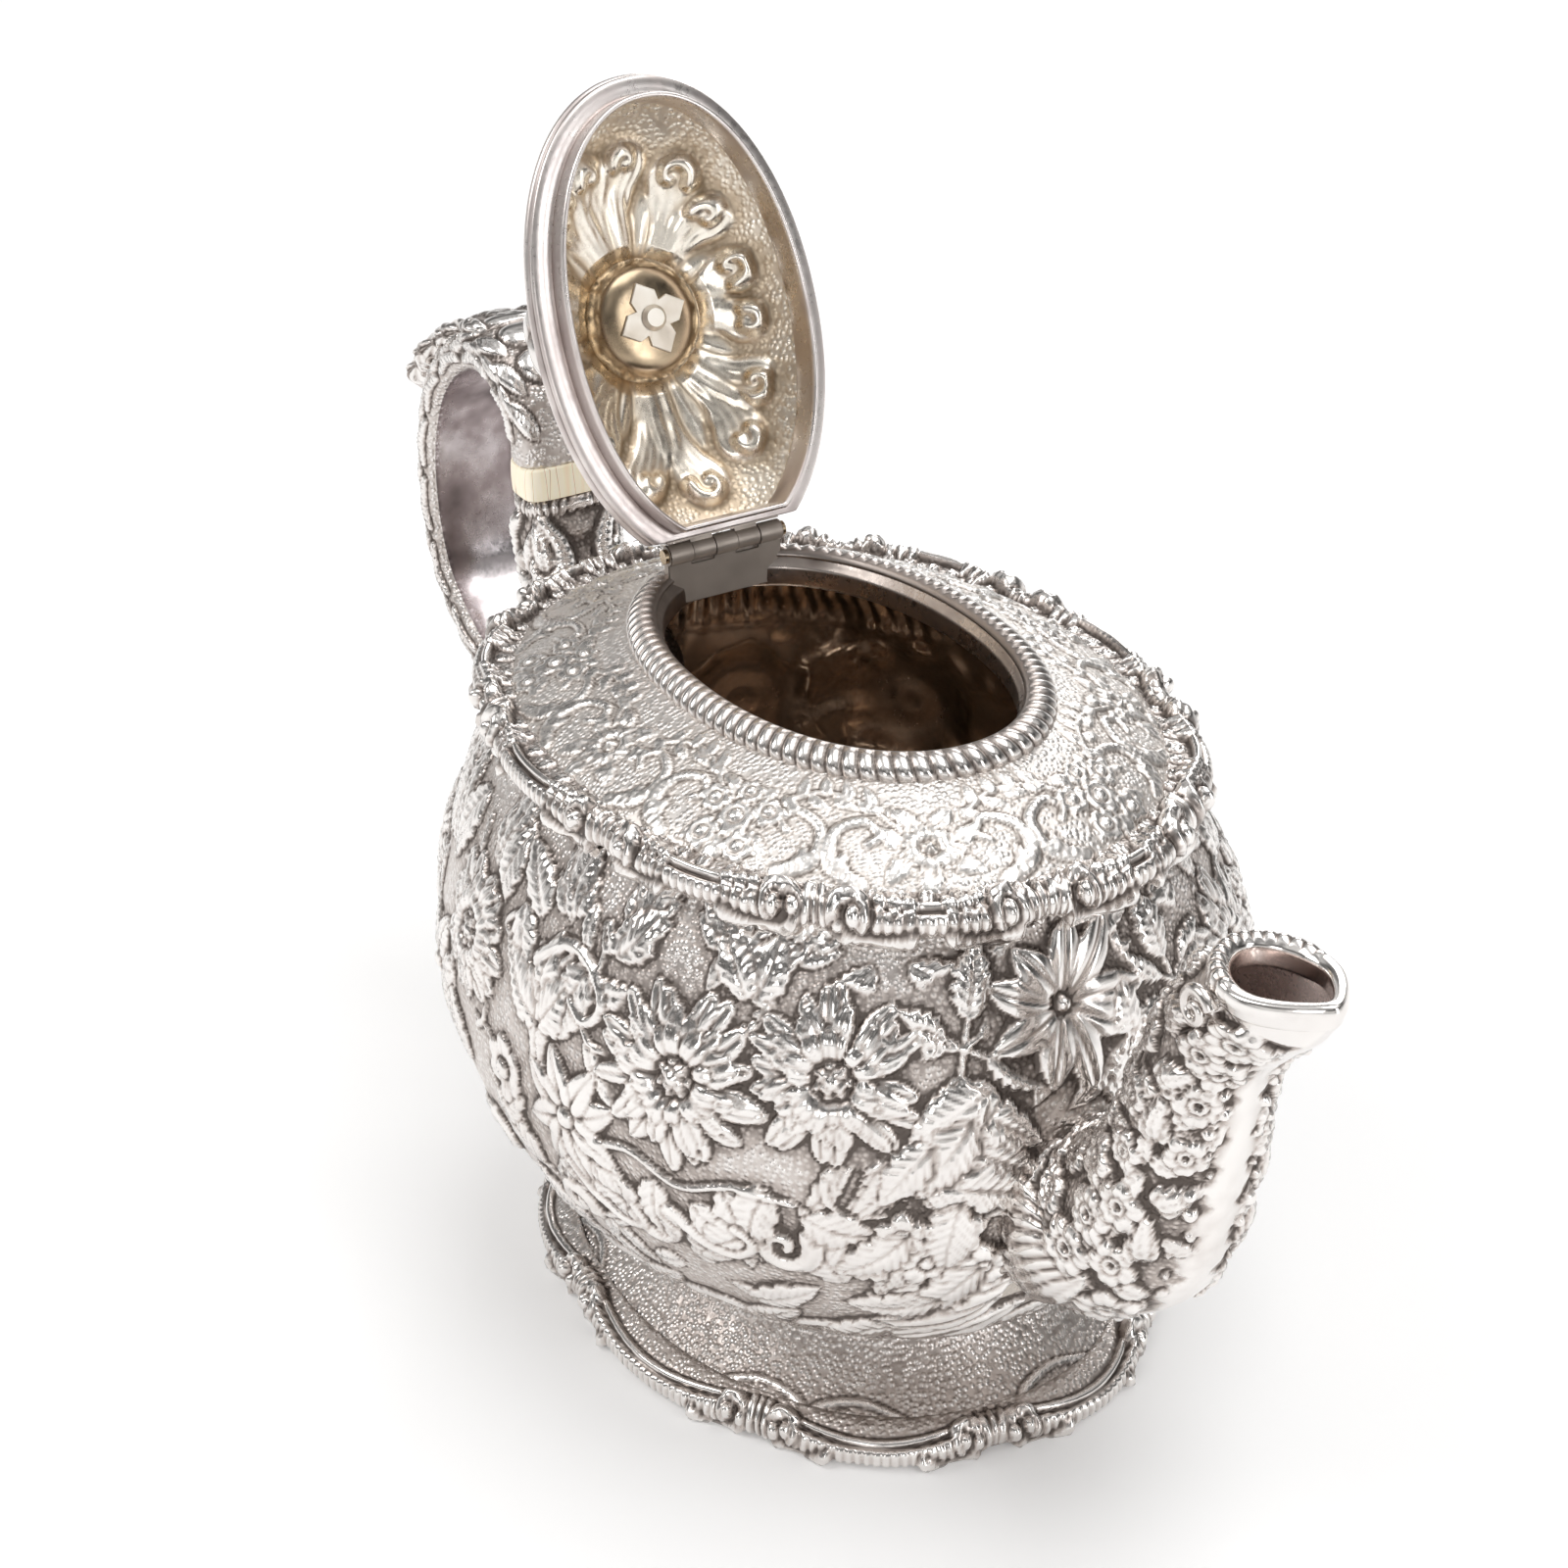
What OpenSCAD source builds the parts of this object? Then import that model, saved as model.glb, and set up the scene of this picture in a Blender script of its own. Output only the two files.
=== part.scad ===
// Silver repousse teapot: an oval, bulging pot on a flared foot, with a domed shoulder,
// a swan-neck spout, a scrolled handle held off the pot by two ivory insulators,
// and a domed lid on a five-knuckle hinge. The lid is drawn open, resting on its stop.
// Millimetres. +X towards the spout, +Z up, origin at the centre of the foot's resting plane.

/* [Pot] */
// Half length of the belly along the pot
belly_a = 79.6; // [72:0.5:92]
// Half width of the belly across the pot
belly_b = 64.2; // [58:0.5:75]
// Height of the widest part of the belly
belly_z = 60; // [50:1:70]
// Thickness of the raised sheet
sheet = 1.3; // [0.8:0.1:2]
// Roundness of the oval plan (2 is an ellipse)
oval = 2.1; // [2:0.05:2.6]

/* [Mouth] */
// Half length of the mouth's clear opening
mouth_a = 40; // [34:0.5:46]
// Half width of the mouth's clear opening
mouth_b = 23.6; // [20:0.5:28]
// Shift of the mouth and lid towards the spout
mouth_cx = 2.7; // [0:0.1:6]
// Height of the mouth's inner edge
mouth_z = 119.2; // [110:0.2:126]

/* [Lid] */
// Lid angle above closed, as drawn
lid_open = 112; // [0:1:112]
// Half length of the lid rim
lid_a = 41.9; // [36:0.1:48]
// Half width of the lid rim
lid_b = 26.5; // [22:0.1:30]
// Height of the lid dome's crown above its rim
lid_rise = 18; // [10:0.5:26]

/* [Hinge] */
// Hinge axis along X
hinge_x = -35.7; // [-40:0.1:-30]
// Hinge axis height
hinge_z = 125.8; // [120:0.1:130]
// Half length of the barrel
hinge_half = 10.8; // [8:0.1:13]
// Outer radius of the knuckles
knuckle_r = 1.7; // [1.3:0.05:2.4]
// Radius of the hinge pin
pin_r = 0.8; // [0.5:0.05:1.1]
// Radial clearance between the pin and the knuckles
pin_gap = 0.05; // [0.02:0.01:0.1]

/* [Foot] */
// Half length of the foot's skirt at the floor
foot_a = 61.4; // [54:0.5:70]
// Half width of the foot's skirt at the floor
foot_b = 46.9; // [42:0.5:56]
// Height of the foot's neck
neck_z = 17; // [10:0.5:22]

/* [Handle and spout] */
// Half width of the handle strap
grip_w = 10; // [7:0.25:13]
// Half thickness of the handle strap
grip_h = 4.2; // [3:0.1:6]
// Thickness of the upper insulator
ins_t = 6.4; // [4:0.1:8]
// Wall of the spout
spout_t = 1.5; // [1:0.1:2.5]

/* [Hidden] */

silver = [0.86, 0.85, 0.83];
worn = [0.74, 0.72, 0.69];
ivory = [0.90, 0.84, 0.66];
gilt = [0.62, 0.54, 0.42];

NB = 72;               // steps round the big ovals
hub_x = 4.1;           // finial axis
cut_x = -33.2;         // straight hinge end of the lid

function sgn(v) = v < 0 ? -1 : 1;
function se(v, n) = sgn(v) * pow(abs(v), 2 / n);
// One oval ring: p = [half length, half width, z, centre x, least x]
function ring(p, N, n = oval) = [for (i = [0:N - 1]) let (t = i * 360 / N)
    [max((len(p) > 4 ? p[4] : -999), (len(p) > 3 ? p[3] : 0) + p[0] * se(cos(t), n)), p[1] * se(sin(t), n), p[2]]];
// One section across a bent tube in the XZ plane: s = [x, z, heading, half height, half width]
function section(s, N, n = 2, off = 0) = [for (i = [0:N - 1]) let (t = i * 360 / N, c = (s[3] - off) * se(cos(t), n))
    [s[0] - c * sin(s[2]), -(s[4] - off) * se(sin(t), n), s[1] + c * cos(s[2])]];
function flat(G) = [for (g = G) for (p = g) p];
function quads(N, j, k) = [for (i = [0:N - 1]) let (m = (i + 1) % N)
    each [[j * N + i, k * N + i, k * N + m], [j * N + i, k * N + m, j * N + m]]];

// Closed loop of rings: an oval or bent hollow wall
module torus(G) {
    N = len(G[0]);
    M = len(G);
    polyhedron(points = flat(G), faces = [for (j = [0:M - 1]) each quads(N, j, (j + 1) % M)], convexity = 6);
}
// Open run of rings, capped at both ends
module bar(G) {
    N = len(G[0]);
    M = len(G);
    polyhedron(points = flat(G), faces = concat([for (j = [0:M - 2]) each quads(N, j, j + 1)],
        [[for (i = [0:N - 1]) i]], [[for (i = [N - 1:-1:0]) (M - 1) * N + i]]), convexity = 6);
}
// Rings up the outside then down the inside, with one opening between steps i0..i1 and levels j0..j1
module vessel(O, I, i0, i1, j0, j1) {
    N = len(O[0]);
    M = len(O);
    Q = N * M;
    function v(i, j) = j * N + ((i + N) % N);
    function hole(i, j) = let (k = i >= N / 2 ? i - N : i) k >= i0 && k < i1 && j >= j0 && j < j1;
    function tri(q) = [[q[0], q[1], q[2]], [q[0], q[2], q[3]]];
    faces = concat(
        [for (j = [0:M - 2]) for (i = [0:N - 1]) if (!hole(i, j)) each tri([v(i, j), v(i, j + 1), v(i + 1, j + 1), v(i + 1, j)])],
        [for (j = [0:M - 2]) for (i = [0:N - 1]) if (!hole(i, j)) each tri([Q + v(i, j), Q + v(i + 1, j), Q + v(i + 1, j + 1), Q + v(i, j + 1)])],
        [for (i = [0:N - 1]) each tri([v(i + 1, M - 1), v(i, M - 1), Q + v(i, M - 1), Q + v(i + 1, M - 1)])],
        [for (j = [j0:j1 - 1]) each tri([v(i0, j), v(i0, j + 1), Q + v(i0, j + 1), Q + v(i0, j)])],
        [for (j = [j0:j1 - 1]) each tri([v(i1, j + 1), v(i1, j), Q + v(i1, j), Q + v(i1, j + 1)])],
        [for (i = [i0:i1 - 1]) each tri([v(i + 1, j0), v(i, j0), Q + v(i, j0), Q + v(i + 1, j0)])],
        [for (i = [i0:i1 - 1]) each tri([v(i, j1), v(i + 1, j1), Q + v(i + 1, j1), Q + v(i, j1)])],
        [[for (i = [0:N - 1]) v(i, 0)]], [[for (i = [N - 1:-1:0]) Q + v(i, 0)]]);
    polyhedron(points = concat(flat(O), flat(I)), faces = faces, convexity = 8);
}
module oval_plate(a, b, h, N = 72, n = oval) {
    linear_extrude(h) polygon([for (i = [0:N - 1]) let (t = i * 360 / N) [a * se(cos(t), n), b * se(sin(t), n)]]);
}
// Everything on the lid turns about the hinge axis
module on_lid() {
    translate([hinge_x, 0, hinge_z]) rotate([0, -lid_open, 0]) translate([-hinge_x, 0, -hinge_z]) children();
}

// Raised belly, from the flat bottom up to the shoulder: [half length, half width, z]
belly = [[20, 14, neck_z - 1], [42, 29, neck_z - 0.6], [45.6, 32, neck_z], [50, 36, neck_z + 1.4], [57.6, 43.2, 22],
    [65.4, 50.8, 28], [70.8, 56.4, 34.6], [74.6, 60, 41.4], [77.8, 62.8, 50], [belly_a, belly_b, belly_z + 2], [belly_a - 0.6, 63.2, 74],
    [76.6, 60, 86], [73.6, 56, 95.5], [70.6, 52, 101.5], [68.6, 49.6, 105.5]];
function inside(p, j) = [p[0] - sheet * (j < 3 ? 0.2 : 1), p[1] - sheet * (j < 3 ? 0.2 : 1), p[2] + (j < 7 ? sheet * (j < 4 ? 1 : j < 6 ? 0.7 : 0.4) : j > 9 ? -0.3 : 0) * (j == len(belly) - 1 ? 0 : 1)];

module body_bowl() {
    color(silver) vessel([for (p = belly) ring(p, NB)], [for (j = [0:len(belly) - 1]) ring(inside(belly[j], j), NB)], -2, 2, 7, 9);
}

// Domed top of the pot, from the border in to the mouth
module shoulder_plate() {
    outer = [[69.2, 49.6, 105.1], [69.2, 49.6, 108.2], [65.4, 46.8, 111.2], [60, 41.6, 114], [53, 35.8, 116.8], [47.5, 31, 118.6], [44.4, 28, 119.5]];
    inner = [[44.4, 28, 118.2], [47.5, 31, 117.3], [53, 35.8, 115.5], [60, 41.6, 112.7], [65.4, 46.8, 109.7], [67.8, 48.4, 107.6], [67.8, 48.4, 105.1]];
    function cx(p) = mouth_cx * max(0, min(1, (p[2] - 108) / 11));
    color(silver) torus([for (p = concat(outer, inner)) ring([p[0], p[1], p[2], cx(p)], NB)]);
}

// Cast scroll border on the shoulder: scalloped, ten lobes
module shoulder_border() {
    N = 120;
    function lobe(t) = 2.2 * abs(sin(5 * t + 22)) - 1.1;
    P = [[69.4, 49.6, 105.8, 0], [71.4, 51.2, 106, 0.6], [72.8, 52.4, 107.4, 1], [72.4, 52, 109, 1], [70.4, 50.8, 110, 0.7], [66.6, 47.4, 110.4, 0.2], [66.4, 47.2, 109.3, 0], [68.6, 49, 107.4, 0]];
    color(silver) torus([for (p = P) [for (i = [0:N - 1]) let (t = i * 3, d = lobe(t) * p[3])
        [(p[0] + d) * se(cos(t), oval), (p[1] + d) * se(sin(t), oval), p[2] + 0.25 * d]]]);
}

// Points a distance d outside the mouth's clear opening
function mouth_pt(t, d, z) = let (x = mouth_a * se(cos(t), oval), y = mouth_b * se(sin(t), oval),
    gx = sgn(x) * pow(abs(x) / mouth_a, oval - 1) / mouth_a, gy = sgn(y) * pow(abs(y) / mouth_b, oval - 1) / mouth_b, g = norm([gx, gy]))
    [mouth_cx + x + d * gx / g, y + d * gy / g, z];
module mouth_bezel() {
    P = [[0, mouth_z - 3.2], [1.2, mouth_z - 3.2], [4.4, mouth_z - 0.7], [4.2, mouth_z + 0.6], [2.4, mouth_z + 2.1], [1.4, mouth_z + 1.7], [0.3, mouth_z + 0.4], [0, mouth_z]];
    color(silver) torus([for (p = P) [for (i = [0:NB - 1]) mouth_pt(i * 5, p[0], p[1])]]);
}
// Gadrooned moulding round the mouth
module mouth_gadroon_ring() {
    N = 144;
    P = [[2.5, 1.2], [5.4, -0.6], [6, 0.6], [5.2, 2], [3.8, 2.9], [2.7, 2.5]];
    color(worn) torus([for (p = P) [for (i = [0:N - 1]) let (k = (i % 3 == 0 && p[1] > 0 && p[0] > 3) ? -0.35 : 0) mouth_pt(i * 2.5, p[0] + k, mouth_z + p[1] + k)]]);
}

module foot_pedestal() {
    outer = [[foot_a, foot_b, 1.2], [foot_a + 0.4, foot_b + 0.4, 3], [58.8, 44.4, 4.8], [54.2, 39.9, 7.4], [50.2, 36.2, 10.6], [47.4, 33.7, 14], [46.1, 32.5, neck_z + 0.2]];
    inner = [[44.8, 31.2, neck_z + 0.2], [46.1, 32.4, 13.6], [49, 35, 10], [53.2, 38.9, 6.4], [57.9, 43.5, 3.6], [60, 45.5, 2.2], [60, 45.5, 1.2]];
    color(silver) torus([for (p = concat(outer, inner)) ring(p, NB)]);
}
// Cast scroll border round the foot: scalloped
module foot_border() {
    N = 120;
    function lobe(t) = 1.8 * abs(sin(4 * t + 30)) - 0.9;
    P = [[61, 46.5, 0.9, 0], [63, 48.4, 1.2, 1], [63.6, 49, 2.8, 1], [62, 47.5, 4.8, 1], [58.9, 44.6, 6, 0.6], [58, 43.7, 5.4, 0], [60.6, 46.1, 3.6, 0]];
    color(silver) torus([for (p = P) [for (i = [0:N - 1]) let (t = i * 3, d = lobe(t) * p[3])
        [(p[0] + d) * se(cos(t), oval), (p[1] + d) * se(sin(t), oval), p[2]]]]);
}
// Flat wire that the pot stands on
module foot_rest_wire() {
    color(worn) difference() {
        oval_plate(foot_a + 0.6, foot_b + 0.6, 1.3);
        translate([0, 0, -1]) oval_plate(foot_a - 2.2, foot_b - 2.2, 4);
    }
}

// Swan-neck spout: [x, z, heading, half height, half width]
neck = [[75, 55.2, -11, 16.4, 15.4], [80.4, 56.2, 12, 16.2, 15], [86.8, 59.4, 30, 15.2, 14.2], [93.2, 63.6, 48, 14.2, 13],
    [98.2, 71, 62, 12.8, 12], [102, 79.6, 70, 11.6, 11], [105.2, 89, 73, 10.8, 10], [108, 98, 73, 9.8, 9],
    [111, 105.6, 70, 9.4, 8.2], [115.6, 112, 68, 10, 7.8], [121.4, 117.2, 76, 10.8, 7.6]];
module spout_tube() {
    G = 32;
    out = [for (i = [0:len(neck) - 1]) section(neck[i], G, 2)];
    inn = [for (i = [len(neck) - 1:-1:0]) section(neck[i], G, 2, spout_t)];
    color(silver) torus(concat(out, inn));
}
// Scrolled lip: beak-shaped rim, higher at the back, drawn out to a point in front
function beak(t, a, b, z, d = 0) = let (c = cos(t), f = c > 0 ? 1 - 0.42 * pow(c, 2.2) : 1 + 0.06 * c)
    [123.2 + (a + d) * c + (c > 0 ? 2 * c * c : 0), (b + d) * sin(t) * f, z + (c > 0 ? 1.4 * c * c : 0.6 * c * c)];
module spout_lip_rim() {
    G = 48;
    P = [[0.2, 116.8], [0.9, 117.8], [1.5, 119.4], [1, 120.9], [-0.4, 121], [-1.4, 120.2], [-1.5, 118.4], [-1.1, 116.8]];
    color(silver) torus([for (p = P) [for (i = [0:G - 1]) beak(i * 360 / G, 9.6, 7.6, p[1] + 0.4, p[0])]]);
}
// Pierced plate behind the spout's root, inside the pot
module spout_strainer() {
    color(worn) translate([75.6, 0, 54.6]) rotate([0, -79, 0]) rotate([0, 0, 90]) linear_extrude(1, center = true) difference() {
        square([27, 29], center = true);
        for (i = [-2:2]) for (j = [-2:2]) translate([i * 4.6, j * 4.8]) circle(r = 1.5, $fn = 20);
    }
}

// Handle: sockets, ivory insulators, pins, strap and thumb leaf
module handle_upper_socket() {
    s = [[-69.5, 86, 182, 9, 8], [-78, 85.8, 176, 8.6, 8.2], [-86, 87.2, 158, 8, 8.4], [-93.4, 91.6, 132, 7.2, 8.6], [-98, 98.4, 108, 6.4, 8.8], [-100, 106, 96, 5.8, 9], [-100.6, 113.2, 90, 5.2, 9]];
    color(silver) bar([for (p = s) section(p, 24, 2.6)]);
}
module handle_upper_insulator() {
    color(ivory) translate([-100.6, 0, 113.2]) oval_plate(5.2, 9.2, ins_t, 48, 4.5);
}
module handle_upper_pins() {
    color(worn) for (y = [-4.6, 4.6]) translate([-100.6, y, 109.8]) cylinder(r = 0.9, h = 13, $fn = 20);
}
grip = [[-100.8, 119.6, 90, grip_h + 0.8, grip_w - 0.8], [-101.6, 125, 98, grip_h + 0.7, grip_w - 0.6], [-104.6, 131, 122, grip_h + 0.7, grip_w - 0.2],
    [-111, 135.4, 154, grip_h + 0.7, grip_w], [-120, 135.6, 194, grip_h + 0.5, grip_w], [-129.6, 131, 216, grip_h, grip_w],
    [-137.4, 123.8, 234, grip_h - 0.2, grip_w], [-142.6, 114.8, 250, grip_h - 0.4, grip_w], [-145.3, 105, 264, grip_h - 0.4, grip_w],
    [-145.2, 93.4, 276, grip_h - 0.4, grip_w], [-142, 83.4, 297, grip_h - 0.4, grip_w], [-135.4, 76, 315, grip_h - 0.2, grip_w],
    [-126.6, 69.6, 326, grip_h, grip_w - 0.4], [-116, 64, 335, grip_h, grip_w - 1], [-106.2, 60.2, 340, grip_h + 0.2, grip_w - 1.6]];
module handle_grip() {
    color(silver) bar([for (p = grip) section(p, 24, 3)]);
}
module handle_thumb_leaf() {
    s = [[-118, 139.6, 190, 1.6, 6], [-127, 137, 204, 2.2, 8.6], [-137, 131.6, 214, 2.4, 9.4], [-145.6, 125, 222, 2.2, 8.4], [-151.6, 118.4, 236, 1.4, 5]];
    color(silver) bar([for (p = s) section(p, 20, 2.2)]);
}
module handle_lower_insulator() {
    color(ivory) translate([-106.2, 0, 60.2]) rotate([0, 110, 0]) oval_plate(4.8, 8.8, 6, 48, 4.5);
}
module handle_lower_pins() {
    color(worn) for (y = [-4.4, 4.4]) translate([-109.4, y, 61.4]) rotate([0, 110, 0]) cylinder(r = 0.9, h = 12.4, $fn = 20);
}
module handle_lower_socket() {
    s = [[-100.55, 58.15, 340, 4.6, 8.6], [-94, 56, 342, 5, 8.4], [-87, 54, 346, 6, 8], [-78.4, 52.4, 352, 7.4, 8]];
    color(silver) bar([for (p = s) section(p, 24, 2.6)]);
}

// Hinge: three knuckles on the pot, two on the lid, one pin
kn = [[-hinge_half, -6.55], [-6.4, -2.2], [-2.05, 2.05], [2.2, 6.4], [6.55, hinge_half]];
module knuckle(k) {
    translate([hinge_x, k[0], hinge_z]) rotate([-90, 0, 0]) cylinder(r = knuckle_r, h = k[1] - k[0], $fn = 40);
}
module pin_bore() {
    translate([hinge_x, -20, hinge_z]) rotate([-90, 0, 0]) cylinder(r = pin_r + pin_gap, h = 40, $fn = 40);
}
module hinge_pot_leaf() {
    color(worn) difference() {
        union() {
            for (i = [0, 2, 4]) {
                knuckle(kn[i]);
                translate([hinge_x - 1.1, kn[i][0], 123]) cube([1.5, kn[i][1] - kn[i][0], hinge_z - 123]);
            }
            translate([hinge_x - 1.1, -hinge_half, 116.6]) cube([1.5, 2 * hinge_half, 6.9]);
        }
        pin_bore();
    }
}
module hinge_pin() {
    color(worn) translate([hinge_x, -hinge_half - 0.6, hinge_z]) rotate([-90, 0, 0]) union() {
        cylinder(r = pin_r, h = 2 * hinge_half + 1.2, $fn = 40);
        translate([0, 0, -0.3]) cylinder(r = 1.25, h = 0.7, $fn = 40);
        translate([0, 0, 2 * hinge_half + 0.8]) cylinder(r = 1.25, h = 0.7, $fn = 40);
    }
}
module hinge_lid_leaf() {
    color(worn) on_lid() difference() {
        union() {
            for (i = [1, 3]) {
                knuckle(kn[i]);
                translate([hinge_x, kn[i][0], hinge_z - 0.9]) cube([2.6, kn[i][1] - kn[i][0], 1.8]);
            }
            translate([hinge_x + 2.15, -10, hinge_z - 2.6]) cube([1.3, 20, 4]);
        }
        pin_bore();
    }
}

// Lid, drawn closed and turned up about the hinge
dome = [[40.6, 25.4, 126.6, mouth_cx, cut_x], [38.4, 23.6, 129.4, mouth_cx + 0.1, cut_x], [34.4, 20.6, 132.9, mouth_cx + 0.3, cut_x + 0.4], [28.4, 17, 136.4, mouth_cx + 0.6, -99], [20, 12.6, 139.6, mouth_cx + 0.9, -99], [11, 8.4, 141.8, hub_x - 0.2, -99], [3.4, 3.4, 142.6, hub_x, -99]];
module lid_dome() {
    inner = [for (j = [len(dome) - 1:-1:0]) let (p = dome[j]) [p[0] - (j < 3 ? 1.3 : j < 5 ? 0.5 : 0.1), p[1] - (j < 3 ? 1.3 : j < 5 ? 0.5 : 0.1), p[2] - (j == 0 ? 0 : j < 3 ? 0.5 : 1.2), p[3], j < 3 ? p[4] + 1.3 : -99]];
    color(gilt) on_lid() torus([for (p = concat(dome, inner)) ring(p, NB)]);
}
module lid_rim() {
    P = [[39.3, 23.9, 123], [41.2, 25.8, 122.9], [lid_a, lid_b, 124], [lid_a, lid_b, 125], [41.2, 25.8, 126.7], [40.2, 24.8, 127]];
    Q = [[38.8, 23.4, 126.6], [38, 22.6, 124.4]];
    color(silver) on_lid() torus([for (p = concat([for (i = [0:5]) [P[i][0], P[i][1], P[i][2], mouth_cx, cut_x + (i == 0 ? 0.9 : 0)]], [for (p = Q) [p[0], p[1], p[2], mouth_cx, cut_x + 1.2]])) ring(p, NB)]);
}
module lid_flange() {
    P = [[38, 22.3, 118.3, mouth_cx, -32], [38, 22.3, 124.6, mouth_cx, -32], [38.6, 22.9, 125.6, mouth_cx, -32.2]];
    Q = [[37.3, 21.6, 125.6, mouth_cx, -31.2], [37, 21.3, 124.6, mouth_cx, -31], [37, 21.3, 118.3, mouth_cx, -31]];
    color(silver) on_lid() torus([for (p = concat(P, Q)) ring(p, NB)]);
}

// Finial: blossom and calyx outside, cup, square nut and riveted stud inside
module finial_cup() {
    color(gilt) on_lid() translate([hub_x, 0, 0]) rotate_extrude($fn = 64)
        polygon([[2.2, 135.6], [4.4, 135.8], [6.4, 136.9], [7.8, 138.8], [8.3, 140.9], [7.4, 141.1], [6.9, 139.2], [5.7, 137.6], [4, 136.8], [2.2, 136.6]]);
}
module finial_nut() {
    color(silver) on_lid() translate([hub_x, 0, 133.9]) rotate([0, 0, 14]) difference() {
        translate([-4.7, -4.7, 0]) cube([9.4, 9.4, 1.7]);
        for (a = [0, 90, 180, 270]) rotate([0, 0, a]) translate([4.9, 0, -1]) rotate([0, 0, 45]) cube([1.5, 1.5, 6], center = true);
        translate([0, 0, -1]) cylinder(r = 1.9, h = 5, $fn = 40);
    }
}
module finial_stud() {
    color(silver) on_lid() translate([hub_x, 0, 0]) union() {
        translate([0, 0, 133.8]) cylinder(r = 1.85, h = 20, $fn = 40);
        translate([0, 0, 133.1]) cylinder(r1 = 1.6, r2 = 2.3, h = 0.8, $fn = 40);
    }
}
module finial_calyx() {
    color(silver) on_lid() translate([hub_x, 0, 0]) rotate_extrude($fn = 48)
        polygon([[1.9, 142.4], [6.4, 142.4], [7.2, 143.6], [5.4, 145.2], [4.2, 148], [4.6, 151], [6.8, 153.6], [10.2, 155.4], [11.6, 157.4], [10.4, 157.8], [6.4, 156.2], [1.9, 155.4]]);
}
module finial_blossom() {
    color(silver) on_lid() translate([hub_x, 0, 0]) rotate_extrude($fn = 48)
        polygon([[0, 155], [6.2, 156], [10.2, 157.8], [12, 160.6], [11.6, 164], [9.2, 167.6], [5.6, 169.8], [0, 170.6]]);
}

body_bowl();
shoulder_plate();
shoulder_border();
mouth_bezel();
mouth_gadroon_ring();
foot_pedestal();
foot_border();
foot_rest_wire();
spout_tube();
spout_lip_rim();
spout_strainer();
handle_upper_socket();
handle_upper_insulator();
handle_upper_pins();
handle_grip();
handle_thumb_leaf();
handle_lower_insulator();
handle_lower_pins();
handle_lower_socket();
hinge_pot_leaf();
hinge_pin();
lid_dome();
lid_rim();
lid_flange();
hinge_lid_leaf();
finial_cup();
finial_nut();
finial_stud();
finial_calyx();
finial_blossom();
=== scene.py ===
import math

import bpy
import numpy as np
from mathutils import Matrix, Vector


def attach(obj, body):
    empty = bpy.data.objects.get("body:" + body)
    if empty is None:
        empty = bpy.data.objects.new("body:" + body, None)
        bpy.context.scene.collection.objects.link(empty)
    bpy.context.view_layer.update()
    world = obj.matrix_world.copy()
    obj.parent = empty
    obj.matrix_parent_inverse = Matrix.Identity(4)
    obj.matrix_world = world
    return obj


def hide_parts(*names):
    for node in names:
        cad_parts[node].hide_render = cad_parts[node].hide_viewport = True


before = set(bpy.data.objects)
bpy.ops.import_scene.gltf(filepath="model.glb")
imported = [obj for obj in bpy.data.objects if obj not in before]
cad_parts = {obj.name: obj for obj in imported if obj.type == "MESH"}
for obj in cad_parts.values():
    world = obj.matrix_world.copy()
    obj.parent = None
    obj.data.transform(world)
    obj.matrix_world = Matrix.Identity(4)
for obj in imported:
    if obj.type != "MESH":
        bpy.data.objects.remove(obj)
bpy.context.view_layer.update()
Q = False
KEY, TOP, SIDE, FILL, BACK, WORLD, EXPO = 7.0, 9.0, 4.5, 2.0, 4.0, 0.8, 0.0
NUTDEG = 29.0
GLOW = 0.16

OV = 2.1
def se(v, n=OV): return np.sign(v) * np.abs(v) ** (2.0 / n)
def arc_t(a, b, N, n=OV, M=7200):
    """Angles of N points evenly spaced by length round an oval, and its perimeter."""
    t = np.linspace(0, 2 * np.pi, M + 1)
    x, y = a * se(np.cos(t), n), b * se(np.sin(t), n)
    s = np.concatenate([[0], np.cumsum(np.hypot(np.diff(x), np.diff(y)))])
    return np.interp(np.linspace(0, s[-1], N, endpoint=False), s, t), s[-1]
def smooth(P, N):
    """N points evenly spaced along a smooth curve through P."""
    P = np.asarray(P, float)
    Q = np.vstack([2 * P[0] - P[1], P, 2 * P[-1] - P[-2]])
    out = []
    for i in range(1, len(Q) - 2):
        t = np.linspace(0, 1, 24, endpoint=False)[:, None]
        a, b, c, d = Q[i - 1], Q[i], Q[i + 1], Q[i + 2]
        out.append(0.5 * (2 * b + (c - a) * t + (2 * a - 5 * b + 4 * c - d) * t ** 2 + (3 * b - a - 3 * c + d) * t ** 3))
    C = np.vstack(out + [P[-1:]])
    s = np.concatenate([[0], np.cumsum(np.linalg.norm(np.diff(C[:, [0, -1]] if C.shape[1] > 2 else C, axis=0), axis=1))])
    u = np.linspace(0, s[-1], N)
    return np.stack([np.interp(u, s, C[:, k]) for k in range(C.shape[1])], 1), s[-1]
BELLY = [(45.6, 32, 17), (50, 36, 18.4), (57.6, 43.2, 22), (65.4, 50.8, 28), (70.8, 56.4, 34.6), (74.6, 60, 41.4), (77.8, 62.8, 50), (79.6, 64.2, 62), (79, 63.2, 74), (76.6, 60, 86), (73.6, 56, 95.5), (70.6, 52, 101.5), (68.6, 49.6, 105.5)]
SHOULDER = [(69.2, 49.6, 108.2, 0), (65.4, 46.8, 111.2, .6), (60, 41.6, 114, 1.4), (53, 35.8, 116.8, 2.1), (47.5, 31, 118.6, 2.6), (44.4, 28, 119.5, 2.7)]
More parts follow.
